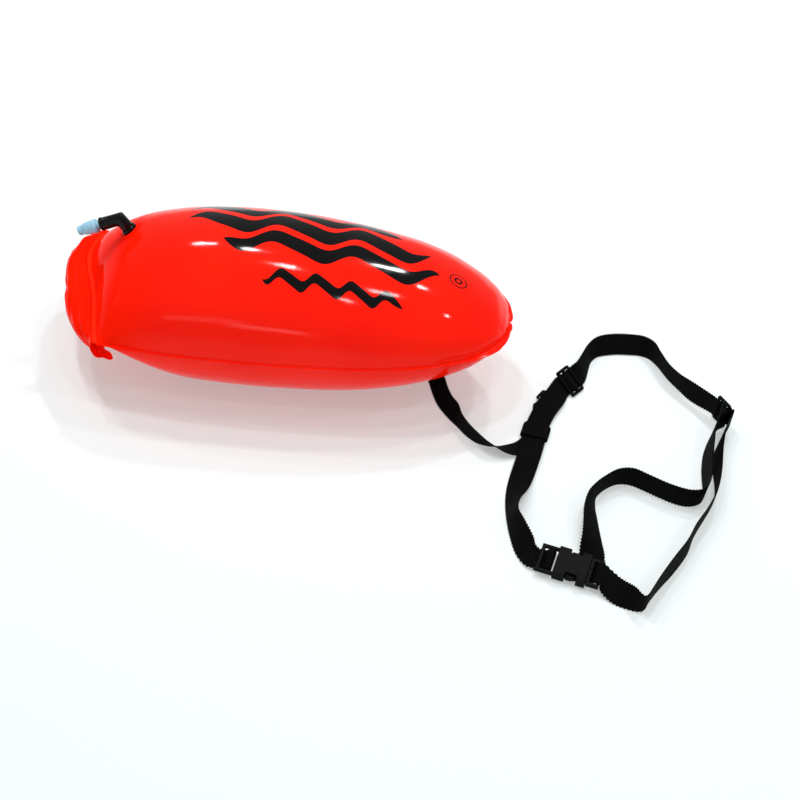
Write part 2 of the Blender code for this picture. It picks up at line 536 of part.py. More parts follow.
def rolled_mouth():
    """Doubled mouth sheet that turns down behind the tail and is rolled up beneath it."""
    half_width = BODY_STATIONS[0][1]
    curve = smooth_line(MOUTH_CURVE, MOUTH_STEPS)
    sections = []
    for y in np.linspace(-half_width, half_width, MOUTH_COLUMNS + 1):
        line = np.array(curve) * mouth_scale(y)
        line[:, 0] += curve[0][0] - line[0][0]
        run = np.gradient(line, axis=0)
        run /= np.linalg.norm(run, axis=1)[:, None]
        side = np.stack([-run[:, 1], run[:, 0]], axis=1) * MOUTH_SHEET / 2
        start = weld_back(y)
        ring = [(start - o, y, SEAM_HEIGHT - d) for o, d in line + side]
        ring += [(start - o, y, SEAM_HEIGHT - d) for o, d in (line - side)[::-1]]
        sections.append(ring)
    return piece("rolled_mouth", *sweep(sections), RED_VINYL, SOFT_ROUGHNESS)


def stiffener():
    """Flat strip at the free edge of the mouth sheet, in the core of the roll."""
    half_width = BODY_STATIONS[0][1] * STIFFENER_LENGTH_SHARE
    reach, drop = MOUTH_CURVE[-1]
    first = MOUTH_CURVE[0][0]
    sections = []
    for y in np.linspace(-half_width, half_width, MOUTH_COLUMNS + 1):
        scale = mouth_scale(y)
        back = weld_back(y) - first - (reach - first) * scale + 2 * FIT_GAP
        front = back + STIFFENER_WIDTH * scale
        low = SEAM_HEIGHT - drop * scale - MOUTH_SHEET / 2
        high = low + MOUTH_SHEET
        sections.append([(back, y, low), (front, y, low), (front, y, high), (back, y, high)])
    return piece("mouth_stiffener", *sweep(sections), CLEAR_GREY, HARD_ROUGHNESS)


def ring_points(centre, first, second, radius):
    """Circle of points round a centre in the plane of two directions."""
    turns = np.linspace(0, 2 * math.pi, ROUND_STEPS, endpoint=False)
    return [centre + first * (radius * math.cos(t)) + second * (radius * math.sin(t)) for t in turns]


def tube(path, outer, inner):
    """Hollow tube along a path in its own frame; the radii are given for every path point."""
    path = [Vector(p) for p in path]
    points = []
    count = len(path)
    for i, centre in enumerate(path):
        run = (path[min(i + 1, count - 1)] - path[max(i - 1, 0)]).normalized()
        second = Vector((0, 1, 0))
        first = second.cross(run).normalized()
        points += ring_points(centre, first, second, outer[i]) + ring_points(centre, first, second, inner[i])
    width = 2 * ROUND_STEPS
    faces = []
    for j in range(ROUND_STEPS):
        k = (j + 1) % ROUND_STEPS
        for i in range(count - 1):
            a, b = i * width, (i + 1) * width
            faces.append((a + j, a + k, b + k, b + j))
            a, b = a + ROUND_STEPS, b + ROUND_STEPS
            faces.append((b + j, b + k, a + k, a + j))
        end = (count - 1) * width
        faces.append((j, ROUND_STEPS + j, ROUND_STEPS + k, k))
        faces.append((end + k, end + ROUND_STEPS + k, end + ROUND_STEPS + j, end + j))
    return points, faces


def turned(profile):
    """Solid of revolution about the frame's first axis; the profile lists place and radius."""
    points = [Vector((profile[0][0], 0, 0))]
    for place, radius in profile[1:-1]:
        points += ring_points(Vector((place, 0, 0)), Vector((0, 1, 0)), Vector((0, 0, 1)), radius)
    points.append(Vector((profile[-1][0], 0, 0)))
    faces = []
    rings = len(profile) - 2
    for j in range(ROUND_STEPS):
        k = (j + 1) % ROUND_STEPS
        faces.append((0, 1 + k, 1 + j))
        for i in range(rings - 1):
            a = 1 + i * ROUND_STEPS
            b = a + ROUND_STEPS
            faces.append((a + j, a + k, b + k, b + j))
        a = 1 + (rings - 1) * ROUND_STEPS
        faces.append((a + j, a + k, len(points) - 1))
    return points, faces


def disc_on_panel(centre, normal, side, radii, thickness, gap):
    """Disc or ring that follows the outer face of a panel."""
    first = Vector((1, 0, 0)) - normal * normal.x
    first.normalize()
    second = normal.cross(first)
    layers = []
    for lift in (gap, gap + thickness):
        rings = []
        for radius in radii:
            ring = []
            for p in ring_points(centre, first, second, radius):
                ring.append(on_panel(p, normal, side) + normal * lift)
            rings.append(ring)
        layers.append(rings)
    points = [p for rings in layers for ring in rings for p in ring]
    rows = len(radii)
    layer = rows * ROUND_STEPS
    faces = []
    for j in range(ROUND_STEPS):
        k = (j + 1) % ROUND_STEPS
        for i in range(rows - 1):
            a, b = i * ROUND_STEPS, (i + 1) * ROUND_STEPS
            faces.append((a + j, b + j, b + k, a + k))
            faces.append((layer + a + k, layer + b + k, layer + b + j, layer + a + j))
        last = (rows - 1) * ROUND_STEPS
        faces.append((last + j, layer + last + j, layer + last + k, last + k))
        faces.append((k, layer + k, layer + j, j))
    return points, faces


def valve_frame():
    """Frame of the valve: first axis along the mouthpiece, third axis out of the panel."""
    seat, normal = outer_place(VALVE_SEAT_SHARE, VALVE_SEAT_ACROSS_SHARE, 1)
    turn = math.radians(VALVE_TURN_DEGREES)
    along = Vector((-math.cos(turn), -math.sin(turn), 0))
    along = (along - normal * along.dot(normal)).normalized()
    return frame(seat, along, normal.cross(along)), seat, normal


def tube_frame(place):
    """Frame of the elbow's outlet tube: first axis along it, from where it meets the stem's axis."""
    meeting = place @ Matrix.Translation(Vector((0, 0, ELBOW_AXIS_HEIGHT)))
    return meeting @ Matrix.Rotation(math.radians(ELBOW_TURN_DEGREES) - math.pi / 2, 4, "Y")


def valve_hole(panel_object, place):
    """Opens the upper panel under the valve."""
    low, high = -VALVE_HOLE_DEPTH, VALVE_HOLE_DEPTH
    profile = [(low, 0), (low, VALVE_HOLE_RADIUS), (high, VALVE_HOLE_RADIUS), (high, 0)]
    upright = place @ Matrix.Rotation(-math.pi / 2, 4, "Y")
    boolean(panel_object, cutter("valve_hole_cutter", *turned(profile), upright), "DIFFERENCE")


def valve_pieces(place, seat, normal):
    """Weld ring, moulded boss, elbow, mouthpiece and seal of the inflation valve."""
    inner = VALVE_BOSS_RADIUS + FIT_GAP
    radii = list(np.linspace(inner, VALVE_FLANGE_RADIUS, WELD_RING_ROWS))
    shape = disc_on_panel(seat, normal, 1, radii, VALVE_FLANGE_THICKNESS, DISC_GAP)
    piece("valve_weld_ring", *shape, RED_VINYL, SOFT_ROUGHNESS)
    heights = [-VALVE_NECK_DEPTH, 0.0, DISC_GAP, VALVE_BOSS_HEIGHT - EDGE_ROUND, VALVE_BOSS_HEIGHT]
    outer = [VALVE_NECK_RADIUS, VALVE_NECK_RADIUS, VALVE_BOSS_RADIUS, VALVE_BOSS_RADIUS,
             VALVE_BOSS_RADIUS - EDGE_ROUND]
    path = [(0, 0, height) for height in heights]
    piece("valve_boss", *tube(path, outer, [VALVE_BORE_RADIUS] * len(path)), BLACK_PLASTIC,
          HARD_ROUGHNESS, place)
    start = VALVE_BOSS_HEIGHT + FIT_GAP
    path = [(0, 0, start)]
    outer = [ELBOW_RADIUS]
    full_turn = math.radians(ELBOW_TURN_DEGREES)
    bend_start = ELBOW_AXIS_HEIGHT - ELBOW_BEND_RADIUS * math.tan(full_turn / 2)
    for turn in np.linspace(0, full_turn, ELBOW_BEND_STEPS):
        reach = ELBOW_BEND_RADIUS * (1 - math.cos(turn))
        path.append((reach, 0, bend_start + ELBOW_BEND_RADIUS * math.sin(turn)))
        outer.append(ELBOW_RADIUS)
    slant = math.cos(full_turn)
    level = math.sin(full_turn)
    rib = ELBOW_TUBE_END - ELBOW_RIB_WIDTH
    for reach, radius in ((rib - EDGE_ROUND, ELBOW_RADIUS), (rib, ELBOW_RIB_RADIUS),
                          (ELBOW_TUBE_END, ELBOW_RIB_RADIUS)):
        path.append((reach * level, 0, ELBOW_AXIS_HEIGHT + reach * slant))
        outer.append(radius)
    piece("valve_elbow", *tube(path, outer, [VALVE_BORE_RADIUS] * len(path)), BLACK_PLASTIC,
          HARD_ROUGHNESS, place)
    axis = tube_frame(place)
    profile = [(MOUTHPIECE_TAIL_START, MOUTHPIECE_TAIL_RADIUS),
               (MOUTHPIECE_COLLAR_START, MOUTHPIECE_TAIL_RADIUS)] + MOUTHPIECE_PROFILE
    path = [(reach, 0, 0) for reach, _ in profile]
    outer = [radius for _, radius in profile]
    piece("valve_mouthpiece", *tube(path, outer, [MOUTHPIECE_BORE_RADIUS] * len(path)), PALE_BLUE,
          HARD_ROUGHNESS, axis)
    end = MOUTHPIECE_TAIL_START - FIT_GAP
    start = end - SEAL_THICKNESS
    tip = end + SEAL_STEM_LENGTH
    profile = [(start, 0), (start, SEAL_RADIUS), (end, SEAL_RADIUS), (end, SEAL_STEM_RADIUS),
               (tip, SEAL_STEM_RADIUS), (tip, 0)]
    piece("valve_seal", *turned(profile), CLEAR_GREY, SOFT_ROUGHNESS, axis)


def matched_halves(faces, count):
    """Splits quads so that both sides of a twisted strap are cut along the same diagonal."""
    halves = []
    for number, (a, b, c, d) in enumerate(faces):
        if number % count < count // 2:
            halves += [(a, b, c), (a, c, d)]
        else:
            halves += [(b, c, d), (b, d, a)]
    return halves


def strap(name, route, width, thickness, steps, colour):
    """Flat webbing along a route of points, each with the direction of the webbing's width."""
    line = smooth_line(route, steps)
    centres = np.array([p[:3] for p in line])
    across = np.array([p[3:] for p in line])
    run = np.gradient(centres, axis=0)
    run /= np.linalg.norm(run, axis=1)[:, None]
    across /= np.linalg.norm(across, axis=1)[:, None]
    upright = np.cross(run, across)
    upright /= np.linalg.norm(upright, axis=1)[:, None]
    sections = []
    for centre, w, n in zip(centres, across, upright):
        half, thick = w * width / 2, n * thickness / 2
        sections.append([centre - half - thick, centre + half - thick,
                         centre + half + thick, centre - half + thick])
    points, faces = sweep(sections)
    return piece(name, points, matched_halves(faces, len(sections[0])), colour, SOFT_ROUGHNESS)


def flat_loop(name, place, inner, thickness, width, colour):
    """Closed band round a flat opening; the frame's first axis runs through the opening."""
    points = []
    for reach in (-width / 2, width / 2):
        for grow in (0.0, thickness):
            radius = inner[1] / 2 + grow
            straight = (inner[0] - inner[1]) / 2
            for turn in np.linspace(0, 2 * math.pi, ROUND_STEPS, endpoint=False):
                shift = straight if math.cos(turn) > 0 else -straight
                points.append((reach, shift + radius * math.cos(turn), radius * math.sin(turn)))
    n = ROUND_STEPS
    faces = []
    for j in range(n):
        k = (j + 1) % n
        faces.append((j, k, n + k, n + j))
        faces.append((2 * n + k, 2 * n + j, 3 * n + j, 3 * n + k))
        faces.append((j, 2 * n + j, 2 * n + k, k))
        faces.append((n + k, 3 * n + k, 3 * n + j, n + j))
    return piece(name, points, faces, colour, SOFT_ROUGHNESS, place)


def rounded_outline(half_long, half_short, corner, steps):
    """Points round a rectangle with round corners."""
    outline = []
    for number, (sx, sy) in enumerate(((1, 1), (-1, 1), (-1, -1), (1, -1))):
        for t in np.linspace(0, math.pi / 2, steps):
            turn = t + number * math.pi / 2
            outline.append((sx * (half_long - corner) + corner * math.cos(turn),
                            sy * (half_short - corner) + corner * math.sin(turn)))
    return outline


def plate(outline, low, high):
    """Straight-sided solid between two heights."""
    count = len(outline)
    points = [(x, y, low) for x, y in outline] + [(x, y, high) for x, y in outline]
    faces = [tuple(range(count))[::-1], tuple(range(count, 2 * count))]
    for j in range(count):
        k = (j + 1) % count
        faces.append((j, k, count + k, count + j))
    return points, faces


def anchor_axes():
    """Seat of the anchor, its outward normal, the ring's long axis and its hanging axis."""
    seat, normal = outer_place(ANCHOR_SHARE, ANCHOR_ACROSS_SHARE, -1)
    turn, hang = math.radians(RING_TURN_DEGREES), math.radians(RING_HANG_DEGREES)
    along = Vector((math.cos(turn), math.sin(turn), 0))
    along = (along - normal * along.dot(normal)).normalized()
    down = normal.cross(along) * math.cos(hang) + normal * math.sin(hang)
    return seat, normal, along, down


def wire_ring(bar, along, down):
    """Anchor ring: round wire bent to a rectangle with round corners, hung by one long side."""
    half_long = RING_LONG / 2 - RING_WIRE_RADIUS
    half_short = RING_SHORT / 2 - RING_WIRE_RADIUS
    place = frame(bar + down * half_short, along, down)
    path = rounded_outline(half_long, half_short, RING_CORNER, RING_CORNER_STEPS)
    count = len(path)
    points = []
    for i, (x, y) in enumerate(path):
        before, after = path[i - 1], path[(i + 1) % count]
        run = Vector((after[0] - before[0], after[1] - before[1], 0)).normalized()
        out = Vector((run.y, -run.x, 0))
        for turn in np.linspace(0, 2 * math.pi, WIRE_STEPS, endpoint=False):
            lift = Vector((0, 0, RING_WIRE_RADIUS * math.sin(turn)))
            points.append(Vector((x, y, 0)) + out * (RING_WIRE_RADIUS * math.cos(turn)) + lift)
    faces = []
    for i in range(count):
        a, b = i * WIRE_STEPS, ((i + 1) % count) * WIRE_STEPS
        for j in range(WIRE_STEPS):
            k = (j + 1) % WIRE_STEPS
            faces.append((a + j, a + k, b + k, b + j))
    piece("anchor_ring", points, faces, BLACK_PLASTIC, HARD_ROUGHNESS, place)


def anchor():
    """Patch welded under the nose, its tab and the ring that hangs in the tab."""
    seat, normal, along, down = anchor_axes()
    radii = list(np.linspace(ANCHOR_HOLE_RADIUS, ANCHOR_RADIUS, ANCHOR_RINGS))
    shape = disc_on_panel(seat, normal, -1, radii, ANCHOR_THICKNESS, DISC_GAP)
    piece("anchor_patch", *shape, RED_VINYL, SOFT_ROUGHNESS)
    tab_half = TAB_INNER[0] / 2
    middle = seat + normal * (DISC_GAP + ANCHOR_THICKNESS + FIT_GAP + TAB_THICKNESS + tab_half)
    flat_loop("anchor_tab", frame(middle, along, normal), TAB_INNER, TAB_THICKNESS, TAB_WIDTH, BLACK_WEBBING)
    wire_ring(middle + normal * (tab_half - RING_WIRE_RADIUS - TAB_BAR_GAP), along, down)


def slider(name, sizes, centre, along, across):
    """Three-bar slider with two slots for webbing."""
    length, width, thickness, slot_length, slot_width, middle_bar = sizes
    place = frame(centre, along, across)
    half = thickness / 2
    outline = rounded_outline(width / 2, length / 2, SLIDER_CORNER, CORNER_STEPS)
    body = piece(name, *plate(outline, -half, half), BLACK_PLASTIC, HARD_ROUGHNESS, place)
    for side in (-1, 1):
        near, far = side * middle_bar / 2, side * (middle_bar / 2 + slot_width)
        low = (min(near, far), -slot_length / 2, -half - CUT_MARGIN)
        high = (max(near, far), slot_length / 2, half + CUT_MARGIN)
        number = "low" if side < 0 else "high"
        boolean(body, cutter(f"{name}_slot_{number}", *box(low, high), place), "DIFFERENCE")
    soften(body, SLIDER_EDGE)
    return body


def buckle_frame():
    """Frame of the buckle: first axis from the socket to the plug, third axis up."""
    turn = Matrix.Rotation(math.radians(BUCKLE_TURN_DEGREES), 4, "Z")
    return Matrix.Translation(Vector(BUCKLE_CENTRE)) @ turn


def socket(place):
    """Buckle socket with its webbing ladder, side windows and cavity."""
    low = (SOCKET_START, -SOCKET_HALF_WIDTH, -SOCKET_HALF_HEIGHT)
    high = (SOCKET_END, SOCKET_HALF_WIDTH, SOCKET_HALF_HEIGHT)
    body = piece("buckle_socket", *box(low, high), BLACK_PLASTIC, HARD_ROUGHNESS, place)
    low = (LADDER_START, -SOCKET_HALF_WIDTH, -LADDER_HALF_HEIGHT)
    high = (SOCKET_START + CUT_MARGIN, SOCKET_HALF_WIDTH, LADDER_HALF_HEIGHT)
    boolean(body, cutter("ladder_add", *box(low, high), place), "UNION")
    inside = SOCKET_HALF_WIDTH - LADDER_RAIL
    tall = LADDER_HALF_HEIGHT + CUT_MARGIN
    deep = SOCKET_HALF_HEIGHT + CUT_MARGIN
    first = (LADDER_START + END_BAR, MIDDLE_BAR[0])
    second = (MIDDLE_BAR[1], SOCKET_START)
    cuts = [("ladder_window", (first[0], -inside, -tall), (first[1], inside, tall)),
            ("ladder_slit", (second[0], -inside, -tall), (second[1], inside, tall)),
            ("cavity", (SOCKET_CAVITY_START, -SOCKET_CAVITY_HALF_WIDTH, -SOCKET_CAVITY_HALF_HEIGHT),
             (SOCKET_END + CUT_MARGIN, SOCKET_CAVITY_HALF_WIDTH, SOCKET_CAVITY_HALF_HEIGHT)),
            ("window_right", (SIDE_WINDOW[0], -SOCKET_HALF_WIDTH - CUT_MARGIN, -deep),
             (SIDE_WINDOW[1], -SOCKET_HALF_WIDTH + SIDE_WINDOW_DEPTH, deep)),
            ("window_left", (SIDE_WINDOW[0], SOCKET_HALF_WIDTH - SIDE_WINDOW_DEPTH, -deep),
             (SIDE_WINDOW[1], SOCKET_HALF_WIDTH + CUT_MARGIN, deep))]
    for name, low, high in cuts:
        boolean(body, cutter(name + "_cutter", *box(low, high), place), "DIFFERENCE")
    soften(body, BUCKLE_EDGE)


def plug(place):
    """Buckle plug: frame with the webbing bar, guide tongue and two arm stubs."""
    outline_low = (PLUG_BASE[0], -PLUG_HALF_WIDTH, -PLUG_HALF_HEIGHT)
    outline_high = (PLUG_BAR[1], PLUG_HALF_WIDTH, PLUG_HALF_HEIGHT)
    body = piece("buckle_plug", *box(outline_low, outline_high), BLACK_PLASTIC, HARD_ROUGHNESS, place)
    inside = PLUG_HALF_WIDTH - PLUG_RAIL
    tall = PLUG_HALF_HEIGHT + CUT_MARGIN
    window = box((PLUG_BASE[1], -inside, -tall), (PLUG_BAR[0], inside, tall))
    boolean(body, cutter("plug_window_cutter", *window, place), "DIFFERENCE")
    root = PLUG_BASE[0] + PLUG_JOIN
    tongue = box((TONGUE_START, -TONGUE_HALF_WIDTH, -TONGUE_HALF_HEIGHT),
                 (root, TONGUE_HALF_WIDTH, TONGUE_HALF_HEIGHT))
    boolean(body, cutter("tongue_add", *tongue, place), "UNION")
    near, far = ARM_STUB_ACROSS
    for side, name in ((1, "left"), (-1, "right")):
        low = (ARM_STUB[0], min(side * near, side * far), -STUB_HALF_HEIGHT)
        high = (ARM_STUB[1], max(side * near, side * far), STUB_HALF_HEIGHT)
        boolean(body, cutter(f"stub_{name}_add", *box(low, high), place), "UNION")
    soften(body, BUCKLE_EDGE)


def latch_arms(place):
    """Two sprung arms whose buttons stand in the socket's side windows."""
    for side, name in ((1, "left"), (-1, "right")):
        pivot = Vector((ARM_PIVOT[0], side * ARM_PIVOT[1], 0))
        outline = [(x - pivot.x, side * y - pivot.y) for x, y in ARM_OUTLINE]
        made = plate(outline, -ARM_HALF_HEIGHT, ARM_HALF_HEIGHT)
        arm = piece(f"latch_arm_{name}", *made, BLACK_PLASTIC, HARD_ROUGHNESS,
                    place @ Matrix.Translation(pivot))
        soften(arm, SLIDER_EDGE)


def build():
    """Places every piece of the buoy."""
    upper = panel("upper_panel", 1)
    panel("lower_panel", -1)
    weld_bar()
    rolled_mouth()
    stiffener()
    place, seat, normal = valve_frame()
    valve_hole(upper, place)
    valve_pieces(place, seat, normal)
    anchor()
    strap("leash_webbing", LEASH_ROUTE, LEASH_WIDTH, LEASH_THICKNESS, STRAP_STEPS_LEASH, BLACK_WEBBING)
    strap("belt_webbing", BELT_ROUTE, BELT_WIDTH, BELT_THICKNESS, STRAP_STEPS_BELT, BLACK_WEBBING)
    flat_loop("leash_loop", frame(LOOP_CENTRE, LOOP_ALONG, LOOP_ACROSS), LOOP_INNER, LOOP_THICKNESS,
              LOOP_WIDTH, BLACK_WEBBING)
    slider("stop_slider", BELT_SLIDER, STOP_CENTRE, STOP_ALONG, STOP_ACROSS)
    slider("adjuster_slider", BELT_SLIDER, ADJUSTER_CENTRE, ADJUSTER_ALONG, ADJUSTER_ACROSS)
    slider("leash_slider", LEASH_SLIDER, LEASH_SLIDER_CENTRE, LEASH_SLIDER_ALONG, LEASH_SLIDER_ACROSS)
    place = buckle_frame()
    socket(place)
    plug(place)
    latch_arms(place)


build()
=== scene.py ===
# %% [markdown]
# # Open water swim buoy
#
# A swim buoy is two sheets of vinyl film welded together round their edge and blown up, with a bag
# inside that rolls shut at the tail. A tether of webbing joins it to a waist belt. Its solids come
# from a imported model, which is the fixed frame: every piece here rides on it and stays inside it.

# %% Load the frame
import math

import bmesh
import bpy
import numpy as np
from mathutils import Matrix, Vector
from mathutils.kdtree import KDTree


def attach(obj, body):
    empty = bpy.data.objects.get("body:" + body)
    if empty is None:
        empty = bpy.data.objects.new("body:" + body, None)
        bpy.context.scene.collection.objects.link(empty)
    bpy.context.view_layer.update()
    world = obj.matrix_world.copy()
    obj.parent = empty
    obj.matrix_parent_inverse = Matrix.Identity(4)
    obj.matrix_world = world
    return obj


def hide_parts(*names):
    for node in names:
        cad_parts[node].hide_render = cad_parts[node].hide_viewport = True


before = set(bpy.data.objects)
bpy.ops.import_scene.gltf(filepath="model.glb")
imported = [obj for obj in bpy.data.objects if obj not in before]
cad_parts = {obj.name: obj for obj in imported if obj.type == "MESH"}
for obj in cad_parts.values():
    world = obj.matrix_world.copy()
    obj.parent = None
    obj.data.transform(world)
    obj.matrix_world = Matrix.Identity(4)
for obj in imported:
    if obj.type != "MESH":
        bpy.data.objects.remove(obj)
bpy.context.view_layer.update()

# %% [markdown]
# ## Small helpers
#
# Colours are written as the hex codes that a paint chart gives, which are sRGB, and Blender's nodes
# want linear light, so one function turns them round. Another adds a node with its settings and its
# inputs in one line, which keeps each material short enough to read as a recipe.

# %% Colours and nodes


def linear(code):
    """Linear red, green, blue and alpha of a hex colour."""
    parts = [int(code[i:i + 2], 16) / 255 for i in (0, 2, 4)]
    return [p / 12.92 if p <= 0.04045 else ((p + 0.055) / 1.055) ** 2.4 for p in parts] + [1.0]


def feed_one(tree, socket, value):
    """Sets or links one input."""
    if isinstance(value, bpy.types.NodeSocket):
        tree.links.new(value, socket)
    else:
        socket.default_value = value


def feed(tree, node, inputs):
    """Sets or links the inputs of a node."""
    for name, value in inputs.items():
        feed_one(tree, node.inputs[name], value)


def add(tree, kind, settings=None, inputs=None):
    """One node; inputs are numbers, colours or the sockets that feed them."""
    made = tree.nodes.new(kind)
    for name, value in (settings or {}).items():
        setattr(made, name, value)
    feed(tree, made, inputs or {})
    return made


def reckon(tree, operation, *values):
    """Result of one sum on numbers or sockets."""
    return add(tree, "ShaderNodeMath", {"operation": operation}, dict(enumerate(values))).outputs[0]


def new_material(name):
    """A material whose shader is ready to be fed."""
    made = bpy.data.materials.new(name)
    made.use_nodes = True
    return made, made.node_tree, made.node_tree.nodes["Principled BSDF"]


def ramp(tree, value, low, high):
    """Value taken from low..high to 0..1, clamped."""
    inputs = {"Value": value, "From Min": low, "From Max": high}
    return add(tree, "ShaderNodeMapRange", None, inputs).outputs["Result"]


def noise(tree, vector, per_metre, detail, more=None):
    """Noise of so many lumps to the metre."""
    inputs = {"Vector": vector, "Scale": per_metre, "Detail": detail, **(more or {})}
    return add(tree, "ShaderNodeTexNoise", None, inputs).outputs[0]


def tint(tree, share, code, pale_code):
    """Colour between two hex colours, or between a socket's colour and a hex colour."""
    made = add(tree, "ShaderNodeMix", {"data_type": "RGBA"}, {0: share, 7: linear(pale_code)})
    feed_one(tree, made.inputs[6], linear(code) if isinstance(code, str) else code)
    return made.outputs[2]


def bump(tree, height, strength, depth):
    """Normals of a relief that is so deep."""
    inputs = {"Strength": strength, "Distance": depth, "Height": height}
    return add(tree, "ShaderNodeBump", None, inputs).outputs[0]


def unit(rows):
    """Rows of vectors at length one."""
    return rows / np.linalg.norm(rows, axis=1)[:, None]


def distances(line):
    """Distance along a line at each of its points."""
    return np.concatenate([[0], np.cumsum(np.linalg.norm(np.diff(line, axis=0), axis=1))])


def turns_of(count, shift=0.0):
    """Even angles round a circle."""
    return np.linspace(0, 2 * math.pi, count, endpoint=False) + shift


def put(name, data):
    """An object in the scene at the origin."""
    made = bpy.data.objects.new(name, data)
    bpy.context.scene.collection.objects.link(made)
    return made


def show(name, points, faces, paint, smooth=True):
    """A mesh piece at the origin with one material and its faces outwards."""
    mesh = bpy.data.meshes.new(name)
    mesh.from_pydata([tuple(map(float, p)) for p in points], [], faces)
    work = bmesh.new()
    work.from_mesh(mesh)
    bmesh.ops.recalc_face_normals(work, faces=work.faces)
    work.to_mesh(mesh)
    work.free()
    if smooth:
        mesh.shade_smooth()
    mesh.materials.append(paint)
    return put(name, mesh)


print("helpers are ready")

# %% [markdown]
# ## The camera
#
# The photograph looks down on the buoy by 45 degrees, from a little right of square. The belt is
# 25 mm webbing, and that fixes both the distance and the lens: 45 mm on a 36 mm sensor, from 0.8 m
# above the floor.

# %% Camera
MAIN_BODY = "buoy_and_belt"

LENS_MM = 45
SENSOR_MM = 36
CAMERA_PLACE = (0.2426, -0.8406, 0.800)
CAMERA_LOOK = (-0.1021, 0.6997, -0.7071)
camera_data = bpy.data.cameras.new("camera")
camera_data.lens = LENS_MM
camera_data.sensor_width = SENSOR_MM
camera = put("camera", camera_data)
camera.location = CAMERA_PLACE
camera.rotation_euler = Vector(CAMERA_LOOK).to_track_quat("-Z", "Y").to_euler()
bpy.context.scene.camera = camera
print("camera at", tuple(round(v, 3) for v in camera.location))

# %% [markdown]
# ## Webbing
#
# The belt and the tether are woven polypropylene webbing. It is a dense rib weave: thick weft lines
# cross the tape about every 2.4 mm and fine warp yarns run along it, and the edges show the weft
# turning round as small even bumps. The yarn is dyed in the melt, so it is black right through, and
# its rough surface shows hardly any shine. The pattern reads the piece's own UV map, which is laid
# out in metres, so that the weave follows the tape round every bend.

# %% Webbing material
WEFT_PITCH = 0.0024
WARP_PITCH = 0.0011
YARN_LEAN = 0.0004
RIB_SHARE = 0.6
WEAVE_DEPTH = 0.0004
FUZZ_PER_METRE = 2600.0
WEAR_PER_METRE = 38.0


def webbing_material(name, code, pale_code):
    """Woven polypropylene tape: ribbed and matt, black, darker in the weave's hollows and paler on its
    yarn tops as painted shade, with paler worn patches.
    """
    made, tree, shader = new_material(name)
    uv = add(tree, "ShaderNodeUVMap", {"uv_map": "tape"}).outputs[0]
    split = add(tree, "ShaderNodeSeparateXYZ", None, {0: uv})
    along, across = split.outputs[0], split.outputs[1]
    warp = reckon(tree, "MULTIPLY", across, 2 * math.pi / WARP_PITCH)
    warp_wave = reckon(tree, "SINE", warp)
    lean = reckon(tree, "MULTIPLY", reckon(tree, "ABSOLUTE", warp_wave), YARN_LEAN)
    weft = reckon(tree, "MULTIPLY", reckon(tree, "ADD", along, lean), 2 * math.pi / WEFT_PITCH)
    weft_wave = reckon(tree, "SINE", weft)
    rib = reckon(tree, "MULTIPLY", weft_wave, RIB_SHARE)
    height = reckon(tree, "ADD", rib, reckon(tree, "MULTIPLY", warp_wave, 1 - RIB_SHARE))
    fuzz = noise(tree, uv, FUZZ_PER_METRE, 2.0)
    worn = reckon(tree, "MULTIPLY", noise(tree, uv, WEAR_PER_METRE, 3.0), 0.6)
    # Painted shade: the colour follows the weave's height, darker in the hollows and paler on the yarn
    # tops; the wear noise adds paler patches.
    shade = reckon(tree, "ADD", ramp(tree, height, -1.0, 1.0), worn)
    full = reckon(tree, "ADD", height, reckon(tree, "MULTIPLY", fuzz, 0.5))
    feed(tree, shader, {"Base Color": tint(tree, ramp(tree, shade, 0.2, 1.6), code, pale_code),
                        "Normal": bump(tree, full, 0.7, WEAVE_DEPTH),
                        "Roughness": 0.78, "Specular IOR Level": 0.06})
    return made


YARN_BLACK = "020203"
# Colour of the yarn tops and worn patches; on the tops it is a painted highlight.
YARN_LIT_TOPS_AND_WEAR = "09090A"
belt_paint = webbing_material("woven_polypropylene_belt", YARN_BLACK, YARN_LIT_TOPS_AND_WEAR)
leash_paint = webbing_material("woven_polypropylene_tether", YARN_BLACK, YARN_LIT_TOPS_AND_WEAR)
print("webbing: weft every", WEFT_PITCH * 1000, "mm")
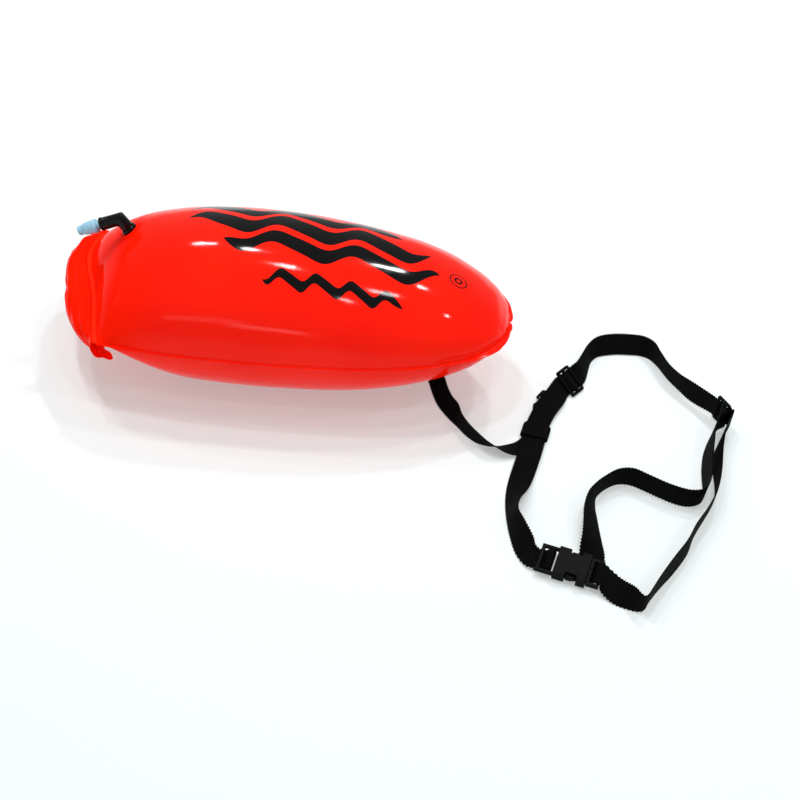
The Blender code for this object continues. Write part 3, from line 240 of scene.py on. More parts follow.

# %% [markdown]
# ## The lay of the tapes
#
# A tape keeps its length and width wherever it lies, so each one is written as a route: a place and
# the direction of the tape's width, chosen so that it lies flat, stands on edge or passes through a
# slider as in the photograph. A smooth curve runs through the places, and rows are then set at even
# steps along it, so that the woven edge repeats evenly.

# %% Routes of the tether and the belt
BELT_WIDTH = 0.0250
BELT_THICKNESS = 0.0014
LEASH_WIDTH = 0.0200
LEASH_THICKNESS = 0.0013
LEASH_ROUTE = [
    (0.1618, -0.0073, 0.0063, 0.87, 0.40, 0.30), (0.1596, -0.0033, 0.0072, 0.87, 0.40, 0.30),
    (0.1577, -0.0002, 0.0090, 0.87, 0.40, 0.30), (0.1559, 0.0015, 0.0117, 0.87, 0.40, 0.30),
    (0.1546, 0.0031, 0.0134, 0.87, 0.40, 0.30), (0.1537, 0.0049, 0.0136, 0.87, 0.40, 0.30),
    (0.1534, 0.0064, 0.0124, 0.87, 0.40, 0.30), (0.1538, 0.0069, 0.0105, 0.87, 0.40, 0.30),
    (0.1548, 0.0060, 0.0090, 0.87, 0.40, 0.30), (0.1563, 0.0037, 0.0077, 0.87, 0.40, 0.30),
    (0.1577, 0.0013, 0.0067, 0.87, 0.40, 0.30), (0.1597, -0.0021, 0.0055, 0.87, 0.40, 0.30),
    (0.1614, -0.0052, 0.0048, 0.87, 0.40, 0.30), (0.1636, -0.0102, 0.0024, 0.87, 0.46, 0.16),
    (0.1663, -0.0165, 0.0012, 0.88, 0.47, 0.05), (0.1705, -0.0285, 0.0013, 0.87, 0.48, 0.05),
    (0.1775, -0.0450, 0.0029, 0.85, 0.49, 0.21), (0.1870, -0.0620, 0.0071, 0.66, 0.38, 0.64),
    (0.1970, -0.0795, 0.0099, 0.23, 0.15, 0.96), (0.2070, -0.0930, 0.0105, 0.08, 0.07, 0.99),
    (0.2185, -0.1035, 0.0105, -0.04, -0.06, 1.00), (0.2310, -0.1098, 0.0095, -0.13, -0.42, 0.90),
    (0.2420, -0.1116, 0.0074, -0.03, -0.74, 0.67), (0.2515, -0.1105, 0.0042, 0.18, -0.92, 0.34),
    (0.2603, -0.1072, 0.0016, 0.41, -0.91, 0.09), (0.2680, -0.1022, 0.0012, 0.67, -0.74, 0.02),
    (0.2738, -0.0956, 0.0019, 0.83, -0.56, 0.00), (0.2782, -0.0875, 0.0024, 0.91, -0.41, 0.00),
    (0.2812, -0.0785, 0.0024, 0.96, -0.28, 0.00), (0.2835, -0.0690, 0.0024, 0.96, -0.28, 0.00),
    (0.2864, -0.0580, 0.0020, 0.94, -0.34, 0.00), (0.2850, -0.0421, 0.0017, 0.87, -0.50, 0.00),
    (0.2880, -0.0369, 0.0016, 0.87, -0.50, 0.00), (0.2906, -0.0325, 0.0016, 0.87, -0.50, 0.00),
    (0.2914, -0.0310, 0.0020, 0.87, -0.50, 0.00), (0.2923, -0.0294, 0.0037, 0.87, -0.50, 0.00),
    (0.2932, -0.0279, 0.0053, 0.87, -0.50, 0.00), (0.2940, -0.0265, 0.0057, 0.87, -0.50, 0.00),
    (0.2948, -0.0251, 0.0053, 0.87, -0.50, 0.00), (0.2957, -0.0236, 0.0037, 0.87, -0.50, 0.00),
    (0.2966, -0.0220, 0.0020, 0.87, -0.50, 0.00), (0.2974, -0.0205, 0.0016, 0.87, -0.50, 0.00),
    (0.3000, -0.0161, 0.0015, 0.87, -0.50, 0.00),
]
BELT_ROUTE = [
    (0.2903, -0.2486, 0.0009, -0.22, -0.97, 0.00), (0.2942, -0.2495, 0.0009, -0.22, -0.97, 0.00),
    (0.2981, -0.2504, 0.0009, -0.22, -0.97, 0.00), (0.3030, -0.2515, 0.0010, -0.22, -0.97, 0.00),
    (0.3058, -0.2522, 0.0026, -0.22, -0.97, 0.00), (0.3061, -0.2522, 0.0060, -0.22, -0.97, 0.00),
    (0.3054, -0.2520, 0.0094, -0.22, -0.97, 0.00), (0.3030, -0.2515, 0.0105, -0.22, -0.97, 0.00),
    (0.3007, -0.2510, 0.0095, -0.22, -0.97, 0.00), (0.2993, -0.2506, 0.0068, -0.22, -0.97, 0.00),
    (0.2976, -0.2502, 0.0046, -0.22, -0.97, 0.00), (0.2942, -0.2495, 0.0035, -0.22, -0.97, 0.00),
    (0.2894, -0.2484, 0.0036, -0.22, -0.97, 0.00), (0.2836, -0.2460, 0.0054, -0.36, -0.90, -0.24),
    (0.2766, -0.2355, 0.0082, -0.62, -0.52, -0.59), (0.2690, -0.2195, 0.0110, -0.52, -0.25, -0.82),
    (0.2635, -0.2050, 0.0123, -0.39, -0.06, -0.92), (0.2630, -0.1890, 0.0108, -0.56, 0.04, -0.83),
    (0.2655, -0.1720, 0.0078, -0.83, 0.13, -0.54), (0.2685, -0.1540, 0.0039, -0.96, 0.17, -0.24),
    (0.2720, -0.1355, 0.0028, -0.98, 0.19, -0.05), (0.2760, -0.1160, 0.0049, -0.98, 0.19, 0.00),
    (0.2790, -0.0970, 0.0043, -0.99, 0.14, 0.00), (0.2810, -0.0800, 0.0043, -0.98, 0.17, 0.00),
    (0.2845, -0.0635, 0.0048, -0.95, 0.31, 0.09), (0.2910, -0.0460, 0.0074, -0.90, 0.38, 0.21),
    (0.2995, -0.0290, 0.0092, -0.81, 0.47, 0.34), (0.3063, -0.0118, 0.0090, -0.66, 0.50, 0.56),
    (0.3092, -0.0080, 0.0090, -0.66, 0.50, 0.56), (0.3104, -0.0067, 0.0094, -0.66, 0.50, 0.56),
    (0.3127, -0.0055, 0.0111, -0.66, 0.50, 0.56), (0.3150, -0.0043, 0.0127, -0.66, 0.50, 0.56),
    (0.3165, -0.0028, 0.0131, -0.66, 0.50, 0.56), (0.3176, -0.0010, 0.0128, -0.66, 0.50, 0.56),
    (0.3183, 0.0015, 0.0113, -0.66, 0.50, 0.56), (0.3189, 0.0041, 0.0098, -0.66, 0.50, 0.56),
    (0.3198, 0.0056, 0.0096, -0.66, 0.50, 0.56), (0.3227, 0.0089, 0.0101, -0.66, 0.50, 0.56),
    (0.3280, 0.0170, 0.0120, -0.52, 0.24, 0.82), (0.3320, 0.0310, 0.0126, -0.39, 0.11, 0.91),
    (0.3363, 0.0455, 0.0128, -0.28, 0.13, 0.95), (0.3440, 0.0575, 0.0125, -0.27, 0.26, 0.93),
    (0.3550, 0.0655, 0.0112, -0.26, 0.53, 0.81), (0.3690, 0.0700, 0.0106, -0.10, 0.65, 0.75),
    (0.3840, 0.0708, 0.0110, 0.02, 0.62, 0.79), (0.3975, 0.0690, 0.0120, 0.13, 0.42, 0.90),
    (0.4085, 0.0615, 0.0130, 0.14, 0.11, 0.98), (0.4165, 0.0480, 0.0132, -0.03, -0.02, 1.00),
    (0.4260, 0.0285, 0.0132, -0.09, -0.05, 0.99), (0.4375, 0.0120, 0.0136, -0.06, -0.04, 1.00),
    (0.4525, -0.0055, 0.0152, 0.08, 0.07, 0.99), (0.4708, -0.0227, 0.0170, 0.00, 0.00, 1.00),
    (0.4737, -0.0266, 0.0170, 0.00, 0.00, 1.00), (0.4752, -0.0279, 0.0170, 0.00, 0.00, 1.00),
    (0.4780, -0.0287, 0.0170, 0.00, 0.00, 1.00), (0.4808, -0.0295, 0.0170, 0.00, 0.00, 1.00),
    (0.4825, -0.0312, 0.0170, 0.00, 0.00, 1.00), (0.4834, -0.0330, 0.0170, 0.00, 0.00, 1.00),
    (0.4828, -0.0352, 0.0170, 0.00, 0.00, 1.00), (0.4807, -0.0380, 0.0170, 0.00, 0.00, 1.00),
    (0.4807, -0.0410, 0.0170, 0.00, 0.00, 1.00), (0.4826, -0.0449, 0.0170, 0.00, 0.00, 1.00),
    (0.4765, -0.0490, 0.0155, -0.03, 0.01, 1.00), (0.4690, -0.0650, 0.0140, 0.12, 0.02, 0.99),
    (0.4640, -0.0860, 0.0132, 0.28, 0.00, 0.96), (0.4610, -0.1080, 0.0132, 0.30, 0.00, 0.95),
    (0.4595, -0.1280, 0.0132, 0.22, 0.00, 0.98), (0.4580, -0.1430, 0.0132, 0.08, 0.00, 1.00),
    (0.4520, -0.1545, 0.0132, 0.00, 0.00, 1.00), (0.4405, -0.1590, 0.0132, 0.00, 0.07, 1.00),
    (0.4280, -0.1575, 0.0132, 0.02, 0.09, 1.00), (0.4130, -0.1520, 0.0132, 0.03, 0.06, 1.00),
    (0.3970, -0.1445, 0.0132, 0.03, 0.06, 1.00), (0.3820, -0.1385, 0.0132, 0.02, 0.09, 1.00),
    (0.3680, -0.1405, 0.0132, -0.01, 0.03, 1.00), (0.3560, -0.1495, 0.0132, 0.00, 0.00, 1.00),
    (0.3465, -0.1610, 0.0132, -0.06, 0.04, 1.00), (0.3418, -0.1745, 0.0128, -0.37, 0.07, 0.93),
    (0.3410, -0.1905, 0.0114, -0.62, 0.01, 0.79), (0.3422, -0.2065, 0.0096, -0.73, -0.03, 0.68),
    (0.3434, -0.2215, 0.0069, -0.87, 0.00, 0.50), (0.3439, -0.2363, 0.0025, -0.97, 0.22, 0.00),
    (0.3429, -0.2424, 0.0010, -0.98, 0.21, 0.00), (0.3420, -0.2477, 0.0008, -1.00, 0.09, 0.00),
    (0.3414, -0.2522, 0.0008, -0.98, -0.21, 0.00), (0.3415, -0.2563, 0.0008, -0.82, -0.57, 0.00),
    (0.3423, -0.2592, 0.0008, -0.54, -0.84, 0.00), (0.3435, -0.2601, 0.0010, -0.36, -0.93, 0.00),
    (0.3447, -0.2608, 0.0031, -0.26, -0.97, 0.00), (0.3457, -0.2614, 0.0052, -0.22, -0.97, 0.00),
    (0.3469, -0.2616, 0.0076, -0.22, -0.97, 0.00), (0.3484, -0.2620, 0.0097, -0.22, -0.97, 0.00),
    (0.3511, -0.2626, 0.0104, -0.22, -0.97, 0.00), (0.3536, -0.2638, 0.0098, -0.28, -0.96, 0.00),
    (0.3559, -0.2670, 0.0085, -0.45, -0.89, 0.00), (0.3606, -0.2716, 0.0070, -0.69, -0.72, -0.10),
    (0.3664, -0.2770, 0.0068, -0.64, -0.69, -0.34), (0.3726, -0.2824, 0.0086, -0.52, -0.59, -0.62),
    (0.3792, -0.2876, 0.0114, -0.31, -0.39, -0.87), (0.3852, -0.2916, 0.0124, -0.10, -0.18, -0.98),
    (0.3900, -0.2932, 0.0133, 0.00, -0.03, -1.00), (0.3936, -0.2900, 0.0133, 0.00, 0.00, -1.00),
    (0.3970, -0.2830, 0.0132, -0.02, 0.01, -1.00), (0.4060, -0.2670, 0.0130, 0.03, -0.02, -1.00),
    (0.4200, -0.2450, 0.0129, 0.12, -0.07, -0.99), (0.4340, -0.2215, 0.0129, 0.10, -0.06, -0.99),
    (0.4425, -0.2000, 0.0129, 0.02, -0.01, -1.00), (0.4530, -0.1800, 0.0131, -0.04, 0.02, -1.00),
    (0.4625, -0.1605, 0.0132, -0.03, 0.01, -1.00), (0.4685, -0.1420, 0.0132, 0.00, 0.00, -1.00),
    (0.4708, -0.1220, 0.0132, -0.12, 0.00, -0.99), (0.4715, -0.1040, 0.0132, -0.25, 0.00, -0.97),
    (0.4740, -0.0860, 0.0132, -0.25, 0.00, -0.97), (0.4795, -0.0670, 0.0142, -0.10, 0.00, -0.99),
    (0.4855, -0.0525, 0.0155, 0.00, 0.00, -1.00), (0.4901, -0.0423, 0.0170, 0.00, 0.00, -1.00),
    (0.4883, -0.0399, 0.0170, 0.00, 0.00, -1.00), (0.4872, -0.0383, 0.0170, 0.00, 0.00, -1.00),
    (0.4857, -0.0370, 0.0170, 0.00, 0.00, -1.00), (0.4838, -0.0375, 0.0170, 0.00, 0.00, -1.00),
    (0.4826, -0.0391, 0.0170, 0.00, 0.00, -1.00), (0.4832, -0.0409, 0.0170, 0.00, 0.00, -1.00),
    (0.4846, -0.0430, 0.0170, 0.00, 0.00, -1.00),
]

# %% Tapes from their routes
ROUTE_STEPS = 16
ROW_STEP = 0.0006
EDGE_BUMP = 0.00055
EDGE_PITCH = 0.0034
EDGE_SHARE = 0.9
BACK_FACE_OFFSET = 0.1
TAPE_SIDE_SHARES = [-1.0, -0.93, -0.8, -0.4, 0.0, 0.4, 0.8, 0.93, 1.0]
TAPE_LEVEL_SHARES = [0.35, 0.8, 1.0, 1.0, 1.0, 1.0, 1.0, 0.8, 0.35]


def through(points, steps):
    """Smooth curve through points, the same curve as the frame's."""
    points = [np.array(p, float) for p in points]
    padded = [2 * points[0] - points[1]] + points + [2 * points[-1] - points[-2]]
    line = []
    for i in range(1, len(padded) - 2):
        a, b, c, d = padded[i - 1:i + 3]
        for t in np.arange(steps) / steps:
            bend, twist = 2 * a - 5 * b + 4 * c - d, 3 * b - a - 3 * c + d
            line.append((2 * b + (c - a) * t + bend * t ** 2 + twist * t ** 3) / 2)
    return np.array(line + [points[-1]])


def lay(route):
    """Even rows along a tape: distance, centre, width direction and the side it faces."""
    line = through(route, ROUTE_STEPS)
    far = distances(line[:, :3])
    rows = np.linspace(0, far[-1], int(far[-1] / ROW_STEP))
    line = np.stack([np.interp(rows, far, line[:, i]) for i in range(6)], axis=1)
    centre, across = line[:, :3], unit(line[:, 3:])
    face = unit(np.cross(unit(np.gradient(centre, axis=0)), across))
    return {"far": rows, "centre": centre, "across": across, "face": face}


def tape(name, laid, width, thickness, paint):
    """Woven tape along its lay, with a soft edge of small even bumps."""
    upper_side = list(zip(TAPE_SIDE_SHARES, TAPE_LEVEL_SHARES))
    ring = upper_side + [(s, -h) for s, h in upper_side[::-1]]
    wave = EDGE_BUMP * np.cos(2 * math.pi * laid["far"] / EDGE_PITCH)
    points, uvs = [], []
    for i, far in enumerate(laid["far"]):
        for s, h in ring:
            reach = s * width / 2 + (wave[i] * s if abs(s) > EDGE_SHARE else 0)
            rise = laid["face"][i] * h * thickness / 2
            points.append(laid["centre"][i] + laid["across"][i] * reach + rise)
            uvs.append((far, reach + (BACK_FACE_OFFSET if h < 0 else 0)))
    n, rows = len(ring), len(laid["far"])
    faces = [(i * n + j, i * n + (j + 1) % n, (i + 1) * n + (j + 1) % n, (i + 1) * n + j)
             for i in range(rows - 1) for j in range(n)]
    faces += [tuple(range(n)), tuple(range((rows - 1) * n, rows * n))[::-1]]
    made = show(name, points, faces, paint)
    layer = made.data.uv_layers.new(name="tape")
    index = np.empty(len(made.data.loops), int)
    made.data.loops.foreach_get("vertex_index", index)
    layer.data.foreach_set("uv", np.array(uvs)[index].ravel())
    return made


belt = lay(BELT_ROUTE)
tether = lay(LEASH_ROUTE)
belt_tape = tape("belt_tape", belt, BELT_WIDTH, BELT_THICKNESS, belt_paint)
tether_tape = tape("tether_tape", tether, LEASH_WIDTH, LEASH_THICKNESS, leash_paint)
print("belt", round(belt["far"][-1], 3), "m; tether", round(tether["far"][-1], 3), "m")

# %% [markdown]
# ## The body's form
#
# The body is two flat sheets welded round their edge and blown up, so each panel bulges from a flat
# seam. A cloth simulation could inflate it, but the frame already says how wide and how deep the
# body is along its length, so the panel is computed from the same stations: half width, rise above
# the seam and drop below it. A smooth curve joins the stations, and one power law gives the round
# cross section.

# %% Body form
BODY_START_X = -0.232
BODY_LENGTH = 0.474
SEAM_HEIGHT = 0.0889
BODY_STATIONS = np.array([
    (0.00, 0.0985, 0.0010, 0.0010), (0.03, 0.0990, 0.0260, 0.0240), (0.07, 0.1005, 0.0480, 0.0450),
    (0.13, 0.1025, 0.0690, 0.0650), (0.22, 0.1050, 0.0865, 0.0815), (0.34, 0.1060, 0.0935, 0.0885),
    (0.48, 0.1053, 0.0926, 0.0897), (0.58, 0.1030, 0.0880, 0.0882), (0.70, 0.0980, 0.0785, 0.0775),
    (0.80, 0.0885, 0.0665, 0.0655), (0.88, 0.0755, 0.0505, 0.0510), (0.94, 0.0582, 0.0330, 0.0345),
    (0.97, 0.0430, 0.0210, 0.0225), (0.98, 0.0355, 0.0150, 0.0165), (0.99, 0.0250, 0.0082, 0.0090),
    (0.995, 0.0145, 0.0030, 0.0035),
])
TAIL_SHIFT = np.array([
    (-0.0990, 0.0400), (-0.0530, 0.0225), (-0.0200, 0.0100), (0.0000, 0.0010), (0.0220, -0.0105),
    (0.0450, -0.0195), (0.0660, -0.0230), (0.0880, -0.0190), (0.0990, -0.0110),
])
TAIL_SHIFT_REACH = 0.45
SECTION_POWER = 2.1
SECTION_ROUNDNESS = 0.54
FILM = 0.0005
SEAM_GAP = 0.0003
NOSE_END = 0.995
NOSE_CLOSE = 0.002
NOSE_NARROWING = 0.12


def table_value(table, column, place):
    """Smooth values of one table column at an array of places."""
    keys, values = table[:, 0], table[:, column]
    slopes = np.gradient(values, keys)
    place = np.clip(place, keys[0], keys[-1])
    low = np.clip(np.searchsorted(keys, place) - 1, 0, len(keys) - 2)
    span = keys[low + 1] - keys[low]
    t = (place - keys[low]) / span
    start = (values[low] * (1 + 2 * t) + slopes[low] * span * t) * (1 - t) ** 2
    return start + (values[low + 1] * (3 - 2 * t) - slopes[low + 1] * span * (1 - t)) * t ** 2


def body_form(share, across, side):
    """Inner face of a panel at arrays of shares along and across it; side is 1 for the upper."""
    beyond = np.clip((share - NOSE_END) / NOSE_CLOSE, 0, 1)
    half_width = table_value(BODY_STATIONS, 1, share) * (1 - NOSE_NARROWING * beyond)
    rise = table_value(BODY_STATIONS, 2 if side > 0 else 3, share) * np.sqrt(1 - beyond ** 2)
    y = half_width * across
    fade = np.clip(1 - share / TAIL_SHIFT_REACH, 0, None) ** 2
    x = BODY_START_X + BODY_LENGTH * share + table_value(TAIL_SHIFT, 1, y) * fade
    crown = np.clip(1 - np.abs(across) ** SECTION_POWER, 0, None) ** SECTION_ROUNDNESS
    return np.stack([x, y, SEAM_HEIGHT + side * (SEAM_GAP / 2 + rise * crown)], axis=-1)


def normals_of(grid):
    """Unit normals of a grid of points."""
    normal = np.cross(np.gradient(grid, axis=0), np.gradient(grid, axis=1))
    return normal / np.maximum(np.linalg.norm(normal, axis=-1), 1e-12)[..., None]


middle = body_form(np.array([0.5]), np.array([0.0]), 1)[0]
print("top of the body at mid length:", round(float(middle[2]), 4), "m")

# %% [markdown]
# ## Creases at the seam
#
# A flat sheet can't bulge without spare edge, so the seam gathers it into short creases, deep
# round the nose and faint along the sides, and the weld at the tail does the same. Each crease is a
# soft groove that starts at the seam, widens and dies out. The distance to the nearest point of the
# seam, found with a KD tree, says where on a crease every point lies.

# %% Seam creases
PANEL_ROWS = 300
PANEL_COLUMNS = 104
CREASE_SPACING = 0.0125
CREASE_WIDTH = 0.0036
CREASE_SPREAD = 0.022
NOSE_CREASE_DEPTH = 0.0010
SIDE_CREASE_DEPTH = 0.00035
TAIL_CREASE_DEPTH = 0.0009
TAIL_CREASE_SPACING = 0.0170
SIDE_CREASE_REACH = 0.016
TAIL_CREASE_REACH = 0.028
TAIL_WELD_RUN = 0.200
NOSE_CREASE_RUN = 0.105
SEAM_SAMPLES = 900
SEAM_SMOOTHING = 13
SEAM_FLANGE = 0.0030
FLANGE_STEPS = 3
EDGE_PULL = 0.35
# The nose begins here along the length; then places across it and the welded rim's width there.
NOSE_RIM_START = 0.190
NOSE_RIM = np.array([
    (-0.0800, 0.0030), (-0.0600, 0.0058), (-0.0450, 0.0074), (-0.0320, 0.0060), (-0.0180, 0.0042),
    (-0.0090, 0.0040), (-0.0040, 0.0030), (-0.0012, 0.0003), (0.0012, 0.0028), (0.0050, 0.0036),
    (0.0130, 0.0034), (0.0250, 0.0032), (0.0370, 0.0030), (0.0550, 0.0030), (0.0800, 0.0030),
])


def panel_shares():
    """Grid lines along and across a panel, closer together at the ends and at the seam."""
    even = np.linspace(0, 1, PANEL_ROWS)
    eased = (1 - np.cos(math.pi * even)) / 2
    share = (even * 0.6 + eased * 0.4) * NOSE_END
    share = np.concatenate([share, NOSE_END + NOSE_CLOSE * np.array([0.3, 0.6, 0.82, 0.95, 1.0])])
    across = np.sin(math.pi / 2 * np.linspace(-1, 1, PANEL_COLUMNS))
    return np.meshgrid(share, across, indexing="ij")


def edge_loop(grid):
    """Outline of a panel: along one side, round the nose and back along the other."""
    return np.concatenate([grid[:-1, 0], grid[-1], grid[-2::-1, -1]])


def seam_line():
    """Seam outline with its distance along it and its outward direction."""
    line = edge_loop(body_form(*panel_shares(), 1))
    line[:, 2] = SEAM_HEIGHT
    far = distances(line)
    even = np.linspace(0, far[-1], SEAM_SAMPLES)
    smooth = np.stack([np.interp(even, far, line[:, i]) for i in range(2)], axis=1)
    kernel = np.hanning(SEAM_SMOOTHING) / np.hanning(SEAM_SMOOTHING).sum()
    spare = SEAM_SMOOTHING // 2
    padded = np.pad(smooth, ((spare, spare), (0, 0)), mode="reflect", reflect_type="odd")
    smooth = np.stack([np.convolve(padded[:, i], kernel, "valid") for i in range(2)], axis=1)
    run = unit(np.gradient(smooth, axis=0))
    out = np.stack([np.interp(far, even, run[:, 1]), np.interp(far, even, -run[:, 0])], axis=1)
    return line, far, unit(out)


SEAM, SEAM_FAR, SEAM_OUT = seam_line()
NOSE_FAR = SEAM_FAR[-1] / 2
rng = np.random.default_rng(11)


def crease_set(length, spacing, depth_at, reach):
    """Creases along an edge: place, depth, width and how far each one reaches."""
    place, creases = spacing / 2, []
    while place < length:
        depth = depth_at(place) * rng.uniform(0.25, 1.15)
        width = CREASE_WIDTH * rng.uniform(0.7, 1.4)
        creases.append((place, depth, width, reach * rng.uniform(0.35, 1.3)))
        place += spacing * rng.uniform(0.6, 1.4)
    return creases


def nose_share(far):
    """1 at the nose, fading to 0 along the sides."""
    return math.exp(-((far - NOSE_FAR) / NOSE_CREASE_RUN) ** 4)


def seam_crease_depth(far):
    """Mean depth of the creases at a distance along the seam."""
    return SIDE_CREASE_DEPTH + NOSE_CREASE_DEPTH * nose_share(far)


seam_creases = crease_set(SEAM_FAR[-1], CREASE_SPACING, seam_crease_depth, SIDE_CREASE_REACH)
tail_creases = crease_set(TAIL_WELD_RUN, TAIL_CREASE_SPACING, lambda far: TAIL_CREASE_DEPTH,
                          TAIL_CREASE_REACH)


def groove(creases, along, away):
    """Depth of the creases at places along the edge and away from it."""
    total = np.zeros_like(along)
    for place, depth, width, reach in creases:
        wide = width * (1 + away / CREASE_SPREAD)
        total += depth * np.exp(-((along - place) / wide) ** 2 - away / reach)
    return total


print(len(seam_creases), "creases round the seam,", len(tail_creases), "at the tail weld")

# %% [markdown]
# ## The two panels
#
# Each panel is a grid pushed in along its creases and slightly uneven, as stretched film is. The
# flat welded rim is a strip built outwards from the same seam outline for both panels, so the two
# rims lie together. It is narrow along the sides, wider at the nose, and notched at the very tip.
# Solidify then gives the sheet the film's thickness on its outer side.

# %% Panels
VALVE_HOLE_RADIUS = 0.0070
VALVE_SEARCH_RADIUS = 0.03
FITTING_CALM = 0.018
EDGE_CALM = 0.03
WELD_CALM = 0.004
NOSE_RIM_BLEND = 0.015
RIM_WAVE = 0.00030
RIM_WAVE_TURNS = 95
RIM_SAG = 0.0006
RIM_SAG_TURNS = 110
FORM_STEP = 0.002
# Turns per metre along and across, start of the wave and height of each slow unevenness.
UNEVENNESS = [(31.0, 17.0, 0.4, 0.00035), (14.0, -22.0, 1.9, 0.00045), (58.0, 9.0, 4.1, 0.00018),
              (23.0, 47.0, 2.6, 0.00022)]


def flange_width(line):
    """Width of the welded rim along the seam, with the notch at the nose."""
    nose = np.clip((line[:, 0] - NOSE_RIM_START) / NOSE_RIM_BLEND, 0, 1)
    wave = RIM_WAVE * np.sin(SEAM_FAR * RIM_WAVE_TURNS) * (1 - nose)
    rim = np.interp(line[:, 1], NOSE_RIM[:, 0], NOSE_RIM[:, 1])
    return SEAM_FLANGE + wave + (rim - SEAM_FLANGE) * nose


def panel_places(grid):
    """For every point of a panel: how far along the seam, from the seam and from the tail weld."""
    tree = KDTree(len(SEAM))
    for i, p in enumerate(SEAM):
        tree.insert(p, i)
    tree.balance()
    found = [tree.find(p)[1:] for p in grid.reshape(-1, 3)]
    along = SEAM_FAR[[f[0] for f in found]].reshape(grid.shape[:2])
    away = np.array([f[1] for f in found]).reshape(grid.shape[:2])
    steps = np.linalg.norm(np.diff(grid, axis=0), axis=2)
    tail_away = np.concatenate([np.zeros((1, grid.shape[1])), np.cumsum(steps, axis=0)])
    return along, away, tail_away


def creased_panel(share, across, side):
    """Inner face of a panel, pushed in along its creases and slightly uneven."""
    grid = body_form(share, across, side)
    normal = normals_of(grid) * (1 if side > 0 else -1)
    along, away, tail_away = panel_places(grid)
    push = -groove(seam_creases, along, away)
    tail_along = grid[..., 1] + TAIL_WELD_RUN / 2
    push -= groove(tail_creases, tail_along, tail_away) * np.clip(tail_away / WELD_CALM, 0, 1)
    rest = np.clip(away / EDGE_CALM, 0, 1) * np.clip(tail_away / EDGE_CALM, 0, 1)
    for seat in (valve_seat, anchor_seat):
        off = np.linalg.norm(grid - np.array(seat), axis=-1)
        calm = np.clip((off - FITTING_CALM) / FITTING_CALM, 0, 1)
        push *= calm
        rest *= calm
    for kx, ky, turn, size in UNEVENNESS:
        push += size * rest * np.sin(kx * grid[..., 0] + ky * grid[..., 1] + turn + side)
    grid += normal * push[..., None]
    grid[..., 2] = np.maximum(grid[..., 2], FILM) if side < 0 else grid[..., 2]
    return grid


def rim_rows(side):
    """Rows of points across the welded rim, from the seam outwards."""
    depth = groove(seam_creases, SEAM_FAR, np.zeros(len(SEAM))) * EDGE_PULL
    edge = SEAM[:, :2] - SEAM_OUT * depth[:, None]
    sag = RIM_SAG * np.sin(SEAM_FAR * RIM_SAG_TURNS + 0.6) * np.array([nose_share(f) for f in SEAM_FAR])
    rows = []
    for reach in np.arange(FLANGE_STEPS + 1) / FLANGE_STEPS:
        rim = edge + SEAM_OUT * (flange_width(SEAM) * reach)[:, None]
        height = SEAM_HEIGHT + side * SEAM_GAP / 2 * (1 - reach) + sag * reach
        rows.append(np.column_stack([rim, height]))
    return rows


def panel_mesh(name, side, paint):
    """One creased panel with its welded rim."""
    share, across = panel_shares()
    flat = creased_panel(share, across, side).reshape(-1, 3)
    order = np.arange(share.size).reshape(share.shape)
    loop = edge_loop(order[..., None])[:, 0]
    rim = rim_rows(side)
    flat[loop] = rim[0]
    points = np.concatenate([flat] + rim[1:])
    a, wide = order[:-1, :-1].ravel(), share.shape[1]
    corners = [a, a + wide, a + wide + 1, a + 1]
    faces = np.stack(corners if side > 0 else [a] + corners[:0:-1], axis=1)
    rows = [loop] + [len(flat) + len(loop) * k + np.arange(len(loop)) for k in range(FLANGE_STEPS)]
    strips = np.concatenate([np.stack([r[:-1], r[1:], q[1:], q[:-1]], axis=1)
                             for r, q in zip(rows[:-1], rows[1:])])
    faces = np.concatenate([faces, strips[:, ::-1] if side > 0 else strips])
    if side > 0:
        faces, points = open_hole(faces, points)
    mesh = bpy.data.meshes.new(name)
    mesh.from_pydata(points.tolist(), [], faces.tolist())
    mesh.shade_smooth()
    mesh.materials.append(paint)
    made = put(name, mesh)
    wall = made.modifiers.new("film", "SOLIDIFY")
    wall.thickness = FILM
    wall.offset = 1
    wall.use_even_offset = False
    return made


def open_hole(faces, points):
    """Takes away the film under the valve and draws the edge of the hole onto a circle."""
    away = points - np.array(valve_seat)
    away -= np.outer(away @ np.array(valve_normal), valve_normal)
    radius = np.linalg.norm(away, axis=1)
    near = np.linalg.norm(points - np.array(valve_seat), axis=1) < VALVE_SEARCH_RADIUS
    inside = (radius < VALVE_HOLE_RADIUS) & near
    keep = ~inside[faces].all(axis=1)
    edge = np.unique(faces[keep][inside[faces[keep]]])
    points[edge] += away[edge] * (VALVE_HOLE_RADIUS / radius[edge] - 1)[:, None]
    used = np.unique(faces[keep])
    order = np.full(len(points), -1)
    order[used] = np.arange(len(used))
    return order[faces[keep]], points[used]


def outer_place(share, across, side):
    """Point on a panel's outer face and its outward normal."""
    s = share + FORM_STEP * np.array([1, -1, 0, 0, 0])
    a = across + FORM_STEP * np.array([0, 0, 1, -1, 0])
    p = body_form(s, a, side)
    normal = np.cross(p[0] - p[1], p[2] - p[3]) * side
    normal /= np.linalg.norm(normal)
    return Vector(p[4] + normal * FILM), Vector(normal)


def place_of(centre, along, across):
    """Matrix with its first axis along, its second across and its third upright to both."""
    first = Vector(along).normalized()
    second = Vector(across)
    second = (second - first * second.dot(first)).normalized()
    turn = Matrix((first, second, first.cross(second))).transposed().to_4x4()
    return Matrix.Translation(Vector(centre)) @ turn


